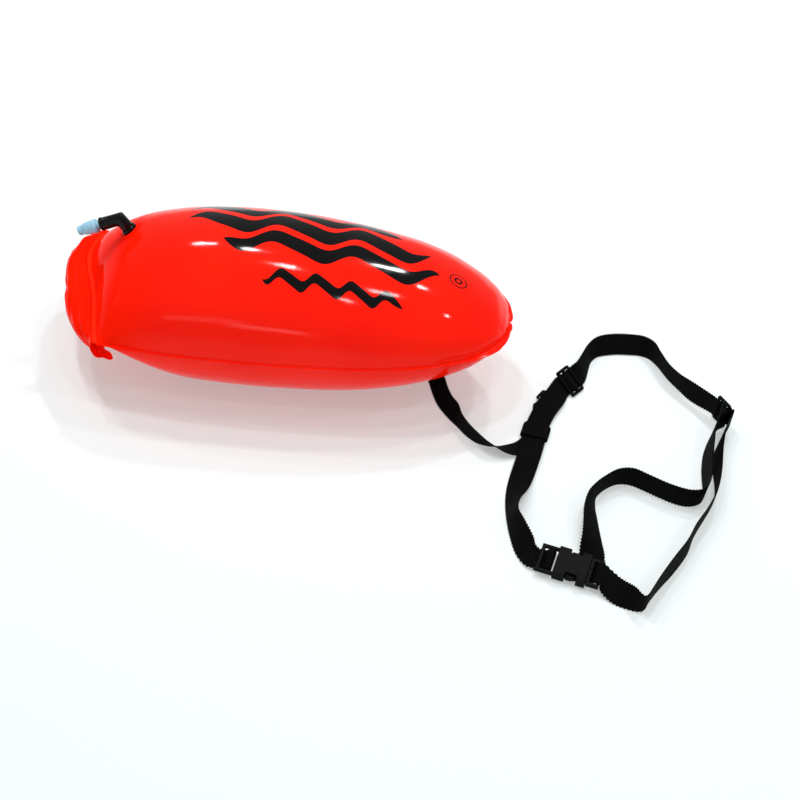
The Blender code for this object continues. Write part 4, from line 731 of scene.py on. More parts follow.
VALVE_SHARE = 0.114
VALVE_ACROSS = 0.185
VALVE_TURN = math.radians(10.0)
ANCHOR_SHARE = 0.800
ANCHOR_ACROSS = 0.13
valve_seat, valve_normal = outer_place(VALVE_SHARE, VALVE_ACROSS, 1)
valve_along = Vector((-math.cos(VALVE_TURN), -math.sin(VALVE_TURN), 0))
valve_along = (valve_along - valve_normal * valve_along.dot(valve_normal)).normalized()
anchor_seat, anchor_normal = outer_place(ANCHOR_SHARE, ANCHOR_ACROSS, -1)
valve_place = place_of(valve_seat, valve_along, valve_normal.cross(valve_along))

# %% [markdown]
# ## Welded film
#
# The film is calendered plasticised PVC, pigmented right through with a fluorescent red. Its material
# also carries painted light: it glows a little in its own colour, whatever falls on it, which brightens
# its shaded lower side. It comes off polished rollers, so it is glossy, with only a trace of orange peel
# and a few rubbed patches, and the heat of the weld has dulled it at the tail.
# The design on the upper panel is screen printed before the sheets are welded, so the ink follows
# every crease. It is a generic sea motif: three bold waves, a small one and a double ring.

# %% Film material
# Places along the length between which the film goes from dulled to its full mirror.
HEAT_DULLED = (-0.175, -0.105)
DULLED_MIRROR = 0.004
FULL_MIRROR = 0.125
FILM_ROUGHNESS = 0.085
RUBBED_ROUGHNESS = 0.185
# Strength of the painted glow that every piece of film gives off in its own colour.
FILM_GLOW = 0.11
CLOUD_PER_METRE = 11.0
RUBBED_PER_METRE = 46.0
FILM_RED = "FF1C05"
FILM_DEEP = "F81403"
INK_BLACK = "0A0A0B"
PEEL_PITCH = 0.0011
PEEL_DEPTH = 0.00008
INK_EDGE = 0.0003


def film_base(name, code, deep_code):
    """Colour, painted glow, roughness and bump that every piece of film shares."""
    made, tree, shader = new_material(name)
    coords = add(tree, "ShaderNodeTexCoord").outputs["Object"]
    cloud = noise(tree, coords, CLOUD_PER_METRE, 3.0)
    rubbed = noise(tree, coords, RUBBED_PER_METRE, 6.0, {"Roughness": 0.7})
    peel = noise(tree, coords, 1 / PEEL_PITCH, 1.0)
    tone = tint(tree, ramp(tree, cloud, 0.3, 0.7), deep_code, code)
    worn = ramp(tree, rubbed, 0.58, 0.75)
    gloss = reckon(tree, "MULTIPLY_ADD", worn, RUBBED_ROUGHNESS - FILM_ROUGHNESS, FILM_ROUGHNESS)
    along = add(tree, "ShaderNodeSeparateXYZ", None, {0: coords}).outputs[0]
    polish = ramp(tree, along, *HEAT_DULLED)
    mirror = reckon(tree, "MULTIPLY_ADD", polish, FULL_MIRROR - DULLED_MIRROR, DULLED_MIRROR)
    # The emission is painted light: the film glows in its own colour, whatever lights it.
    feed(tree, shader, {"Base Color": tone, "Roughness": gloss,
                        "Normal": bump(tree, peel, 0.10, PEEL_DEPTH),
                        "IOR": 1.5, "Specular IOR Level": mirror,
                        "Emission Color": tone, "Emission Strength": FILM_GLOW,
                        "Subsurface Weight": 0.08, "Subsurface Scale": 0.002,
                        "Subsurface Radius": (1.0, 0.25, 0.12)})
    return made, tree, shader, tone, coords


def band(tree, x, y, start, end, level, swing, pitch, stroke, blunt):
    """Mask of a wavy stroke that tapers to both ends."""
    phase = reckon(tree, "MULTIPLY", reckon(tree, "SUBTRACT", x, PRINT_START), 2 * math.pi / pitch)
    lean = reckon(tree, "MULTIPLY_ADD", reckon(tree, "SINE", phase), 0.45, phase)
    centre = reckon(tree, "MULTIPLY_ADD", reckon(tree, "SINE", lean), swing, level)
    off = reckon(tree, "ABSOLUTE", reckon(tree, "SUBTRACT", y, centre))
    way = reckon(tree, "DIVIDE", reckon(tree, "SUBTRACT", x, (start + end) / 2), (end - start) / 2)
    taper = reckon(tree, "SUBTRACT", 1.0, reckon(tree, "POWER", reckon(tree, "ABSOLUTE", way), blunt))
    half = reckon(tree, "MULTIPLY", reckon(tree, "MAXIMUM", taper, 0.0), stroke / 2)
    inside = reckon(tree, "SUBTRACT", half, off)
    return ramp(tree, inside, 0.0, INK_EDGE)


def printed_film():
    """Upper panel's film with its screen print."""
    made, tree, shader, tone, coords = film_base("welded_pvc_film_printed", FILM_RED, FILM_DEEP)
    spread = add(tree, "ShaderNodeSeparateXYZ", None, {0: coords})
    x, y = spread.outputs[0], spread.outputs[1]
    masks = [band(tree, x, y, *row) for row in PRINT_BANDS]
    for centre_x, centre_y, radius, stroke in PRINT_RINGS:
        dx = reckon(tree, "POWER", reckon(tree, "SUBTRACT", x, centre_x), 2.0)
        dy = reckon(tree, "POWER", reckon(tree, "SUBTRACT", y, centre_y), 2.0)
        away = reckon(tree, "SQRT", reckon(tree, "ADD", dx, dy))
        off = reckon(tree, "ABSOLUTE", reckon(tree, "SUBTRACT", away, radius))
        masks.append(ramp(tree, reckon(tree, "SUBTRACT", stroke / 2, off), 0.0, INK_EDGE))
    ink = masks[0]
    for mask in masks[1:]:
        ink = reckon(tree, "MAXIMUM", ink, mask)
    inked = tint(tree, ink, tone, INK_BLACK)
    # The print takes the painted glow too, so the ink glows faintly in its own colour.
    feed(tree, shader, {"Base Color": inked, "Emission Color": inked})
    return made


# Start, end, level, swing, pitch, stroke and bluntness of each printed wave.
PRINT_START = -0.112
PRINT_BANDS = [(-0.118, 0.118, 0.0420, 0.0090, 0.0860, 0.0200, 9.0),
               (-0.112, 0.152, 0.0130, 0.0100, 0.0860, 0.0235, 9.0),
               (-0.064, 0.164, -0.0170, 0.0090, 0.0860, 0.0190, 9.0),
               (-0.014, 0.132, -0.0570, 0.0050, 0.0365, 0.0105, 9.0)]
# Centre, radius and stroke of each printed ring.
PRINT_RINGS = [(0.183, -0.004, 0.0088, 0.0018), (0.183, -0.004, 0.0033, 0.0026)]
film_printed = printed_film()
film_plain = film_base("welded_pvc_film", FILM_RED, FILM_DEEP)[0]
film_weld = film_base("pressed_pvc_weld", "FF2A12", "FA200C")[0]
upper = panel_mesh("upper_film", 1, film_printed)
lower = panel_mesh("lower_film", -1, film_plain)
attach(upper, MAIN_BODY)
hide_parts("upper_panel")
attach(lower, MAIN_BODY)
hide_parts("lower_panel")
print("panels:", len(upper.data.polygons), "and", len(lower.data.polygons), "faces in one layer")

# %% [markdown]
# ## Tail weld and rolled mouth
#
# Behind the tail the two panels end in a pressed weld, a raised bead of fused film. Beyond it the
# bag's mouth is a doubled sheet with a flat strip in its free edge, rolled up under the tail. The
# sheet is swept along its rolled section, row by row across the tail. The roll bulges most near its
# middle and its near end is folded in flat. Long folds run with it and gathers run round it.

# %% Tail weld
WELD_WIDTH = 0.0050
WELD_THICKNESS = 0.0022
FIT = 0.0003
TAIL_HALF_WIDTH = 0.0985
TAIL_STEPS = 220
BEAD_TURNS = 20
BEAD_SQUARENESS = 0.6
PRESS_MARKS = [(0.05, 1900), (0.06, 310)]


def tail_at(y):
    """Distance along the length of the tail's edge at places across it."""
    return BODY_START_X + table_value(TAIL_SHIFT, 1, y)


def swept(name, rings, paint):
    """Closed solid from equal closed rings of points."""
    rings = np.array(rings)
    rows, count = rings.shape[:2]
    j = np.arange(count)
    k = (j + 1) % count
    base = (np.arange(rows - 1) * count)[:, None]
    quads = np.stack([base + j, base + k, base + count + k, base + count + j], axis=-1).reshape(-1, 4)
    half = np.arange(count // 2 - 1)
    cap = np.stack([half, half + 1, count - 2 - half, count - 1 - half], axis=1)
    last = cap[:, ::-1] + (rows - 1) * count
    faces = np.concatenate([quads, cap, last]).tolist()
    return show(name, rings.reshape(-1, 3), faces, paint)


def weld_bead():
    """Raised bead of fused film along the tail."""
    turns = turns_of(BEAD_TURNS, math.pi / BEAD_TURNS)
    rings = []
    for y in np.linspace(-TAIL_HALF_WIDTH, TAIL_HALF_WIDTH, TAIL_STEPS):
        front = tail_at(y) - FILM
        press = 1 + sum(size * math.sin(y * often) for size, often in PRESS_MARKS)
        cx, cz = np.cos(turns), np.sin(turns)
        out = np.sign(cx) * np.abs(cx) ** BEAD_SQUARENESS * (WELD_WIDTH + 2 * FIT) / 2
        up = np.sign(cz) * np.abs(cz) ** BEAD_SQUARENESS * WELD_THICKNESS / 2 * press
        rings.append([(front - WELD_WIDTH / 2 + a, y, SEAM_HEIGHT + b) for a, b in zip(out, up)])
    return swept("tail_weld", rings, film_weld)


bead = weld_bead()
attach(bead, MAIN_BODY)
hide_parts("tail_weld_bar")
print("tail weld:", len(bead.data.polygons), "faces")

# %% Rolled mouth
MOUTH_SHEET = 0.0012
# Outward reach and drop of the sheet's middle line, from the weld to its free edge.
MOUTH_CURVE = [
    (0.0009, 0.0000), (0.0070, -0.0006), (0.0130, 0.0004), (0.0185, 0.0036), (0.0225, 0.0086),
    (0.0245, 0.0150), (0.0245, 0.0220), (0.0222, 0.0285), (0.0178, 0.0335), (0.0118, 0.0362),
    (0.0050, 0.0366), (-0.0015, 0.0352), (-0.0068, 0.0315), (-0.0085, 0.0265), (-0.0058, 0.0222),
    (0.0000, 0.0208), (0.0055, 0.0222), (0.0082, 0.0258), (0.0066, 0.0292), (0.0015, 0.0304),
]
MOUTH_CURVE_STEPS = 6
MOUTH_FOLD_DEPTH = 0.0013
MOUTH_GATHER_DEPTH = 0.0007
MOUTH_SMOOTH_START = 0.010
MOUTH_SMOOTH_END = (0.074, 0.02)
# Place across, then the roll's share of reach and of drop, and how far its end is folded in.
MOUTH_FORM = np.array([
    (-0.0990, 0.35, 0.70, 1.00), (-0.0920, 0.42, 0.76, 0.82), (-0.0820, 0.56, 0.84, 0.38),
    (-0.0700, 0.82, 0.93, 0.08), (-0.0450, 1.22, 1.00, 0.00), (-0.0200, 1.40, 1.00, 0.00),
    (0.0100, 1.27, 1.00, 0.00), (0.0550, 1.08, 0.97, 0.00), (0.0800, 0.92, 0.85, 0.00),
    (0.0990, 0.72, 0.64, 0.00),
])
# The same line where the near end is folded in flat.
MOUTH_END_CURVE = [
    (0.0009, 0.0000), (0.0022, 0.0030), (0.0032, 0.0065), (0.0036, 0.0100), (0.0034, 0.0135),
    (0.0024, 0.0168), (0.0000, 0.0194), (-0.0040, 0.0208), (-0.0090, 0.0214), (-0.0140, 0.0214),
    (-0.0185, 0.0206), (-0.0204, 0.0188), (-0.0190, 0.0170), (-0.0150, 0.0163), (-0.0105, 0.0160),
    (-0.0062, 0.0150), (-0.0048, 0.0130), (-0.0064, 0.0112), (-0.0100, 0.0108), (-0.0140, 0.0114),
]


def mouth_form(y):
    """How far the roll reaches out and drops at a place across it, and how far its end tucks in."""
    return [float(table_value(MOUTH_FORM, column, np.array([y]))[0]) for column in (1, 2, 3)]


def mouth_sections():
    """Rolled sections across the tail: outward reach and drop of the sheet's middle line."""
    base, folded = (through(curve, MOUTH_CURVE_STEPS) for curve in (MOUTH_CURVE, MOUTH_END_CURVE))
    sections = []
    for y in np.linspace(-TAIL_HALF_WIDTH, TAIL_HALF_WIDTH, TAIL_STEPS):
        reach, drop, ended = mouth_form(y)
        line = base * np.array([reach, drop]) * (1 - ended) + folded * ended
        line[:, 0] += base[0, 0] - line[0, 0]
        far = distances(line)
        run = unit(np.gradient(line, axis=0))
        out = np.stack([-run[:, 1], run[:, 0]], axis=1)
        end, fade = MOUTH_SMOOTH_END
        free = np.clip(far / MOUTH_SMOOTH_START, 0, 1) * np.clip((end - far) / fade, 0, 1)
        # The whole numbers in these waves set how tightly they follow, round the roll and across it.
        fold = np.sin(far * 420 + 2.2 * math.sin(y * 26)) * np.sin(y * 38 + far * 60)
        ends = abs(y / TAIL_HALF_WIDTH) ** 3
        gather = ends * np.sin(y * 420 + far * 110)
        gather = gather + 0.5 * np.sin(y * 190 + 1.5 * np.sin(y * 83) + far * 160)
        line = line + out * ((MOUTH_FOLD_DEPTH * fold + MOUTH_GATHER_DEPTH * gather) * free)[:, None]
        sections.append((y, line, out))
    return sections


def mouth_sheet():
    """The rolled sheet with its thickness."""
    rings = []
    for y, line, out in mouth_sections():
        start = tail_at(y) - FILM - FIT - WELD_WIDTH
        front, back = line + out * MOUTH_SHEET / 2, (line - out * MOUTH_SHEET / 2)[::-1]
        rings.append([(start - a, y, SEAM_HEIGHT - b) for a, b in np.concatenate([front, back])])
    return swept("mouth_sheet", rings, film_plain)


mouth = mouth_sheet()
unrolled = float(np.mean([distances(line)[-1] for _, line, _ in mouth_sections()]))
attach(mouth, MAIN_BODY)
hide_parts("rolled_mouth")
print("mouth sheet unrolls to", round(unrolled, 3), "by", 2 * TAIL_HALF_WIDTH, "m")

# %% [markdown]
# ## Moulded plastics
#
# The valve, the buckle and the sliders are injection moulded. The black ones are nearly black right
# through: the valve is smooth and mirrors a little, and the buckle and sliders have a fine
# spark-eroded grain that hardly does. The mouthpiece is a softer pale blue plastic that lets some
# light in. Grain and flow marks come from two noises at their real sizes.

# %% Moulded plastics
GRAIN_PITCH = 0.00035
GRAIN_DEPTH = 0.00006
FLOW_PITCH = 0.012


def moulded(name, code, pale_code, smooth, rough, inside=0.0, mirror=0.35):
    """Injection-moulded plastic with its grain, flow marks and rubbed patches."""
    made, tree, shader = new_material(name)
    coords = add(tree, "ShaderNodeTexCoord").outputs["Object"]
    grain = noise(tree, coords, 1 / GRAIN_PITCH, 2.0)
    flow = noise(tree, coords, 1 / FLOW_PITCH, 4.0, {"Distortion": 0.6})
    gloss = reckon(tree, "MULTIPLY_ADD", ramp(tree, flow, 0.3, 0.75), rough - smooth, smooth)
    feed(tree, shader, {"Base Color": tint(tree, ramp(tree, flow, 0.35, 0.7), code, pale_code),
                        "Normal": bump(tree, grain, 0.12, GRAIN_DEPTH), "Roughness": gloss,
                        "IOR": 1.48, "Specular IOR Level": mirror,
                        "Subsurface Weight": inside, "Subsurface Scale": 0.002})
    return made


valve_black = moulded("moulded_black_valve", "030304", "070709", 0.12, 0.22, 0.0, 0.22)
buckle_black = moulded("moulded_black_acetal", "050606", "0B0C0D", 0.40, 0.52, 0.0, 0.05)
mouthpiece_blue = moulded("moulded_pale_blue", "8FC0DA", "A4CFE4", 0.30, 0.44, 0.15)
seal_rubber = moulded("moulded_seal_rubber", "9A9C9D", "B0B1B1", 0.45, 0.60, 0.10)
print("plastics:", ", ".join(m.name for m in (valve_black, buckle_black, mouthpiece_blue, seal_rubber)))

# %% [markdown]
# ## Inflation valve
#
# The valve is a boss welded into the upper panel, an elbow that turns the tube back over the tail,
# and a mouthpiece that slides in to let air through. All three are round, so a profile turned about
# an axis makes the boss and the mouthpiece, and the elbow is the same circle carried up its stem,
# round a mitred corner and along its outlet. The frame gives the places and sizes. The tube is drawn
# a little thicker, as the photograph shows it, and the rounded lips, the fine grip rings and the
# mould's parting line are added here.

# %% Turned and swept solids
ROUND = 72
MERGE_DISTANCE = 1e-6


def closed_rings(name, rings, paint):
    """Solid whose rings of points close on themselves both ways, like a tube with a bore."""
    rings = np.array(rings)
    rows, count = rings.shape[:2]
    i, j = np.meshgrid(np.arange(rows), np.arange(count), indexing="ij")
    k, m = (i + 1) % rows, (j + 1) % count
    quads = np.stack([i * count + j, i * count + m, k * count + m, k * count + j], axis=-1)
    made = show(name, rings.reshape(-1, 3), quads.reshape(-1, 4).tolist(), paint)
    work = bmesh.new()
    work.from_mesh(made.data)
    bmesh.ops.remove_doubles(work, verts=work.verts, dist=MERGE_DISTANCE)
    bmesh.ops.recalc_face_normals(work, faces=work.faces)
    work.to_mesh(made.data)
    work.free()
    made.data.shade_smooth()
    return made


def turned(name, profile, place, paint, axis="X"):
    """Profile of places and radii turned about the first or the third axis of a place."""
    turns = turns_of(ROUND)
    rings = []
    for reach, radius in profile:
        ring = [(reach, radius * math.cos(t), radius * math.sin(t)) for t in turns]
        if axis == "Z":
            ring = [(b, c, a) for a, b, c in ring]
        rings.append([tuple(place @ Vector(p)) for p in ring])
    return closed_rings(name, rings, paint)


def keep_edges(piece, degrees=32):
    """Leaves true edges sharp and the rest smooth."""
    piece.data.set_sharp_from_angle(angle=math.radians(degrees))
    return piece


# %% Valve boss, elbow and mouthpiece
VALVE_BORE = 0.0042
BOSS_RADIUS = 0.0085
BOSS_HEIGHT = 0.0048
NECK_RADIUS = 0.0066
NECK_DEPTH = 0.0040
ELBOW_RADIUS = 0.0069
ELBOW_CORNER = 0.0022
ELBOW_STRAIGHT = 0.0085
ELBOW_TURN = math.radians(76.0)
ELBOW_AXIS_HEIGHT = 0.0170
ELBOW_END = 0.0225
ELBOW_RIB = 0.0076
ELBOW_RIB_WIDTH = 0.0022
GRIP_RINGS = [0.0120, 0.0140, 0.0160, 0.0180]
GRIP_RISE = 0.00028
GRIP_HALF_WIDTH = 0.0005
LIP = 0.0005
PARTING_RISE_SHARE = 0.018
PARTING_WIDTH_SHARE = 0.05
BOSS_PROFILE = [
    (-NECK_DEPTH, VALVE_BORE), (-NECK_DEPTH, NECK_RADIUS - 0.0004), (-NECK_DEPTH + 0.0004, NECK_RADIUS),
    (0.0, NECK_RADIUS), (0.0003, NECK_RADIUS), (0.0003, BOSS_RADIUS - 0.0002), (0.0006, BOSS_RADIUS),
    (0.0022, BOSS_RADIUS), (0.0025, BOSS_RADIUS - 0.0003), (0.0028, BOSS_RADIUS - 0.0003),
    (0.0031, BOSS_RADIUS), (0.0040, BOSS_RADIUS - 0.0001), (0.0046, BOSS_RADIUS - 0.0006),
    (BOSS_HEIGHT, BOSS_RADIUS - 0.0012), (BOSS_HEIGHT, VALVE_BORE),
]
MOUTHPIECE_PROFILE = [
    (0.0140, 0.0022), (0.0140, 0.0038), (0.0269, 0.0038), (0.0273, 0.0070), (0.0277, 0.0075),
    (0.0284, 0.0078), (0.0299, 0.0078), (0.0306, 0.0077), (0.0312, 0.0074), (0.0330, 0.0073),
    (0.0400, 0.0069), (0.0418, 0.0067), (0.0424, 0.0063), (0.0428, 0.0058), (0.0434, 0.0056),
    (0.0470, 0.0053), (0.0476, 0.0055), (0.0484, 0.0055), (0.0490, 0.0052), (0.0495, 0.0047),
    (0.0495, 0.0027), (0.0490, 0.0022), (0.0400, 0.0022), (0.0270, 0.0022),
]
boss = keep_edges(turned("valve_collar", BOSS_PROFILE, valve_place, valve_black, "Z"))


def elbow_piece():
    """Elbow tube with its bore, carried up the stem, round the corner and along the outlet."""
    turns = turns_of(ROUND)
    cos, sin, none = np.cos(turns), np.sin(turns), np.zeros(ROUND)
    up = np.array([0, 0, 1.0])
    outlet = np.array([math.sin(ELBOW_TURN), 0, math.cos(ELBOW_TURN)])
    sunk = math.tan(ELBOW_TURN / 2)

    def rings_at(radius_at):
        """Rings of one wall: up the stem, round the mitred corner and along the outlet."""
        wide = radius_at(None)
        corner = np.stack([wide * cos, wide * sin, ELBOW_AXIS_HEIGHT - wide * cos * sunk], axis=1)
        foot_ring = np.stack([wide * cos, wide * sin, none + BOSS_HEIGHT + FIT], axis=1)
        start, end = corner - up * ELBOW_CORNER, corner + outlet * ELBOW_CORNER
        rings = [foot_ring + (start - foot_ring) * t for t in np.linspace(0, 1, 6)[:-1]]
        for t in np.linspace(0, 1, 12):
            rings.append(start * (1 - t) ** 2 + corner * 2 * t * (1 - t) + end * t ** 2)
        for reach in np.linspace(ELBOW_STRAIGHT, ELBOW_END, 90):
            radius = radius_at(reach)
            across = np.stack([cos * outlet[2], sin, -cos * outlet[0]], axis=1) * radius
            rings.append(up * ELBOW_AXIS_HEIGHT + outlet * reach + across)
        return rings

    def outer_radius(reach):
        """Outer radius with its end rib, its grip rings and the mould's parting line."""
        if reach is None:
            return ELBOW_RADIUS
        rib = np.clip((reach - ELBOW_END + ELBOW_RIB_WIDTH) / LIP, 0, 1)
        lip = np.clip((ELBOW_END - reach) / LIP, 0, 1)
        radius = ELBOW_RADIUS + (ELBOW_RIB - ELBOW_RADIUS) * rib * (0.55 + 0.45 * math.sqrt(lip))
        radius += GRIP_RISE * sum(max(0, 1 - abs(reach - g) / GRIP_HALF_WIDTH) for g in GRIP_RINGS)
        parting = PARTING_RISE_SHARE * np.exp(-((np.abs(cos) / PARTING_WIDTH_SHARE) ** 2))
        return (radius * (1 + parting))[:, None]

    rings = rings_at(outer_radius) + rings_at(lambda reach: VALVE_BORE)[::-1]
    rings = [[tuple(valve_place @ Vector(p)) for p in ring] for ring in rings]
    return keep_edges(closed_rings("valve_elbow_tube", rings, valve_black), 50)


elbow = elbow_piece()
outlet_place = valve_place @ Matrix.Translation(Vector((0, 0, ELBOW_AXIS_HEIGHT)))
outlet_place = outlet_place @ Matrix.Rotation(ELBOW_TURN - math.pi / 2, 4, "Y")
mouthpiece = turned("mouthpiece_tube", MOUTHPIECE_PROFILE, outlet_place, mouthpiece_blue)
keep_edges(mouthpiece, 40)
for piece, body, node in ((boss, MAIN_BODY, "valve_boss"), (elbow, MAIN_BODY, "valve_elbow"),
                          (mouthpiece, "mouthpiece", "valve_mouthpiece")):
    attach(piece, body)
    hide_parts(node)


def repaint(name, paint):
    """Gives one of the frame's own solids its finish."""
    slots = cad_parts[name].data.materials
    slots.clear()
    slots.append(paint)


repaint("valve_seal", seal_rubber)
print("valve: seat at", tuple(round(v, 4) for v in valve_seat))

# %% [markdown]
# ## Discs welded on the film
#
# A ring of the same film is pressed down round the valve, and a larger disc under the nose carries
# the tether's anchor. Both follow the panel, so their points are found on the body's form: a place
# in the tangent plane is carried onto the panel by a few steps of Newton's method. The press leaves
# a rounded edge and a fine knurl.

# %% Weld ring and anchor patch
DISC_TURNS = 96
NEWTON_STEPS = 12
# Radii of each disc from its hole outwards, and its height over the film at each of them.
RING_RADII = [0.0088, 0.0090, 0.0094, 0.0100, 0.0106, 0.0112,
              0.0118, 0.0124, 0.0130, 0.0135, 0.0138, 0.0140]
RING_LEVELS = [0.0007, 0.0011, 0.0012, 0.0010, 0.0012, 0.0010,
               0.0012, 0.0010, 0.0012, 0.0010, 0.0007, 0.0004]
PATCH_RADII = list(np.linspace(0.0012, 0.0220, 30)) + [0.0228, 0.0235, 0.0240]
PATCH_LEVEL = 0.0011
PATCH_KNURL = 0.00012
PATCH_LEVELS = [PATCH_LEVEL] * 20 + [PATCH_LEVEL + PATCH_KNURL * (-1) ** i for i in range(10)]
PATCH_LEVELS += [0.0010, 0.0008, 0.0005]


def foot(flat_places, seat, normal, share, across, side):
    """Points and normals of the panel over places of the tangent plane at a seat."""
    first = Vector((1, 0, 0)) - normal * normal.x
    first.normalize()
    second = normal.cross(first)
    e1, e2, base = np.array(first), np.array(second), np.array(seat)
    flat_places = np.array(flat_places)
    s = np.full(len(flat_places), share)
    a = np.full(len(flat_places), across)
    for _ in range(NEWTON_STEPS):
        here = body_form(s, a, side) - base
        miss = np.stack([flat_places[:, 0] - here @ e1, flat_places[:, 1] - here @ e2], axis=1)
        ds = (body_form(s + FORM_STEP, a, side) - body_form(s - FORM_STEP, a, side)) / (2 * FORM_STEP)
        da = (body_form(s, a + FORM_STEP, side) - body_form(s, a - FORM_STEP, side)) / (2 * FORM_STEP)
        grid = np.stack([np.stack([ds @ e1, da @ e1], -1), np.stack([ds @ e2, da @ e2], -1)], axis=1)
        move = np.linalg.solve(grid, miss[..., None])[..., 0]
        s, a = s + move[:, 0], a + move[:, 1]
    return body_form(s, a, side), unit(np.cross(ds, da) * side)


def pressed_disc(name, seat, normal, share, across, side, radii, levels, under, paint):
    """Ring or disc that follows the panel; levels are its heights over the film at each radius."""
    turns = turns_of(DISC_TURNS)
    rings = []
    for radius, level in list(zip(radii, levels)) + [(radius, under) for radius in radii[::-1]]:
        places = [(radius * math.cos(t), radius * math.sin(t)) for t in turns]
        on, out = foot(places, seat, normal, share, across, side)
        rings.append(on + out * (FILM + level))
    return keep_edges(closed_rings(name, rings, paint), 60)


weld_ring = pressed_disc("valve_weld", valve_seat, valve_normal, VALVE_SHARE, VALVE_ACROSS, 1,
                         RING_RADII, RING_LEVELS, FIT, film_plain)
patch = pressed_disc("anchor_disc", anchor_seat, anchor_normal, ANCHOR_SHARE, ANCHOR_ACROSS, -1,
                     PATCH_RADII, PATCH_LEVELS, FIT, film_plain)
for piece, node in ((weld_ring, "valve_weld_ring"), (patch, "anchor_patch")):
    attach(piece, MAIN_BODY)
    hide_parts(node)
print("weld ring and patch follow the panels")

# %% [markdown]
# ## Anchor, loop and hard fittings
#
# Under the nose a short tab of webbing holds a moulded ring, and the tether is threaded through it.
# A sewn loop of webbing holds the tether to the belt where they cross. Both bands are made like the
# tapes, from a closed route round an oval. The ring, the sliders and the buckle keep the frame's
# solids, because their shape is already right, and take the moulded acetal.

# %% Bands of webbing
TAB_INNER = (0.0067, 0.0037)
TAB_WIDTH = 0.0160
TAB_THICKNESS = 0.0011
PATCH_THICKNESS = 0.0009
LOOP_CENTRE = (0.2810, -0.0800, 0.0036)
LOOP_ALONG = (0.174, 0.985, 0.0)
LOOP_ACROSS = (-0.985, 0.174, 0.0)
LOOP_INNER = (0.0280, 0.0044)
LOOP_THICKNESS = 0.0013
LOOP_WIDTH = 0.0190
BAND_STEPS = 61


def band_round(name, place, inner, thickness, width, paint):
    """Closed band of webbing round an oval; the place's first axis runs through the opening."""
    radius = (inner[1] + thickness) / 2
    straight = (inner[0] - inner[1]) / 2
    path = []
    for t in np.linspace(0, 2 * math.pi, BAND_STEPS):
        shift = straight if math.cos(t) >= -1e-9 else -straight
        path.append((shift + radius * math.cos(t), radius * math.sin(t)))
    path = np.array(path)
    far = distances(path)
    even = np.linspace(0, far[-1], int(far[-1] / ROW_STEP))
    path = np.stack([np.interp(even, far, path[:, i]) for i in range(2)], axis=1)
    run = np.gradient(path, axis=0)
    run[0] = run[-1] = run[0] + run[-1]
    run = unit(run)
    turn = np.array(place.to_3x3())
    origin = np.array(place.translation)
    laid = {"far": even, "centre": origin + path @ turn[:, 1:].T,
            "across": np.tile(turn[:, 0], (len(path), 1)),
            "face": np.stack([run[:, 1], -run[:, 0]], axis=1) @ turn[:, 1:].T}
    return tape(name, laid, width, thickness, paint)


RING_TURN = math.radians(24.0)
anchor_along = Vector((math.cos(RING_TURN), math.sin(RING_TURN), 0))
anchor_along = (anchor_along - anchor_normal * anchor_along.dot(anchor_normal)).normalized()
tab_middle = anchor_seat + anchor_normal * (FIT + PATCH_THICKNESS + FIT + TAB_THICKNESS + TAB_INNER[0] / 2)
tab = band_round("anchor_tab_band", place_of(tab_middle, anchor_along, anchor_normal), TAB_INNER,
                 TAB_THICKNESS, TAB_WIDTH, leash_paint)
loop = band_round("belt_loop_band", place_of(LOOP_CENTRE, LOOP_ALONG, LOOP_ACROSS), LOOP_INNER,
                  LOOP_THICKNESS, LOOP_WIDTH, leash_paint)
for piece, node in ((tab, "anchor_tab"), (loop, "leash_loop")):
    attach(piece, MAIN_BODY)
    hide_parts(node)
    print(piece.name, len(piece.data.polygons), "faces")

# %% Fittings that keep the frame's solids
stiffener_paint = moulded("extruded_stiffener_strip", "1A1A1C", "262629", 0.42, 0.58)
STRIP_CENTRE = (0.0004, 0.0257)
STRIP_END = (-0.0118, 0.0137)
STRIP_WIDTH = 0.0042
STRIP_THICKNESS = 0.0011
STRIP_SHARE = 0.98
STRIP_TURNS = 24


def stiffener_strip(paint):
    """Flat strip that the mouth is rolled round; it follows the roll's own centre."""
    turns = turns_of(STRIP_TURNS, math.pi / STRIP_TURNS)
    rings = []
    for y in np.linspace(-TAIL_HALF_WIDTH, TAIL_HALF_WIDTH, TAIL_STEPS) * STRIP_SHARE:
        reach, drop, ended = mouth_form(y)
        out_place, low = np.array(STRIP_CENTRE) * (reach, drop) * (1 - ended) + np.array(STRIP_END) * ended
        middle = tail_at(y) - FILM - FIT - WELD_WIDTH - out_place
        cx, cz = np.cos(turns), np.sin(turns)
        out = np.sign(cx) * np.abs(cx) ** 0.3 * STRIP_WIDTH / 2 * min(reach, 1)
        up = np.sign(cz) * np.abs(cz) ** 0.6 * STRIP_THICKNESS / 2
        rings.append([(middle + a, y, SEAM_HEIGHT - low + b) for a, b in zip(out, up)])
    return swept("stiffener_strip", rings, paint)


strip = stiffener_strip(stiffener_paint)
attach(strip, MAIN_BODY)
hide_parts("mouth_stiffener")
FITTINGS = ["anchor_ring", "leash_slider", "stop_slider", "adjuster_slider", "buckle_socket",
            "buckle_plug", "latch_arm_left", "latch_arm_right"]
for name in FITTINGS:
    repaint(name, buckle_black)
print(len(FITTINGS), "solids of the frame are painted")

# %% [markdown]
# ## Stitching
#
# Where a tape is folded back on itself it is sewn down with a box of bonded polyester thread. Every
# stitch is the same small bead of thread, so Geometry Nodes sets them out: a line of edges becomes a
# curve, the curve is cut at the stitch length, and one bead is put on each point along the curve. A
# change of stitch length is then one number and not a new model.

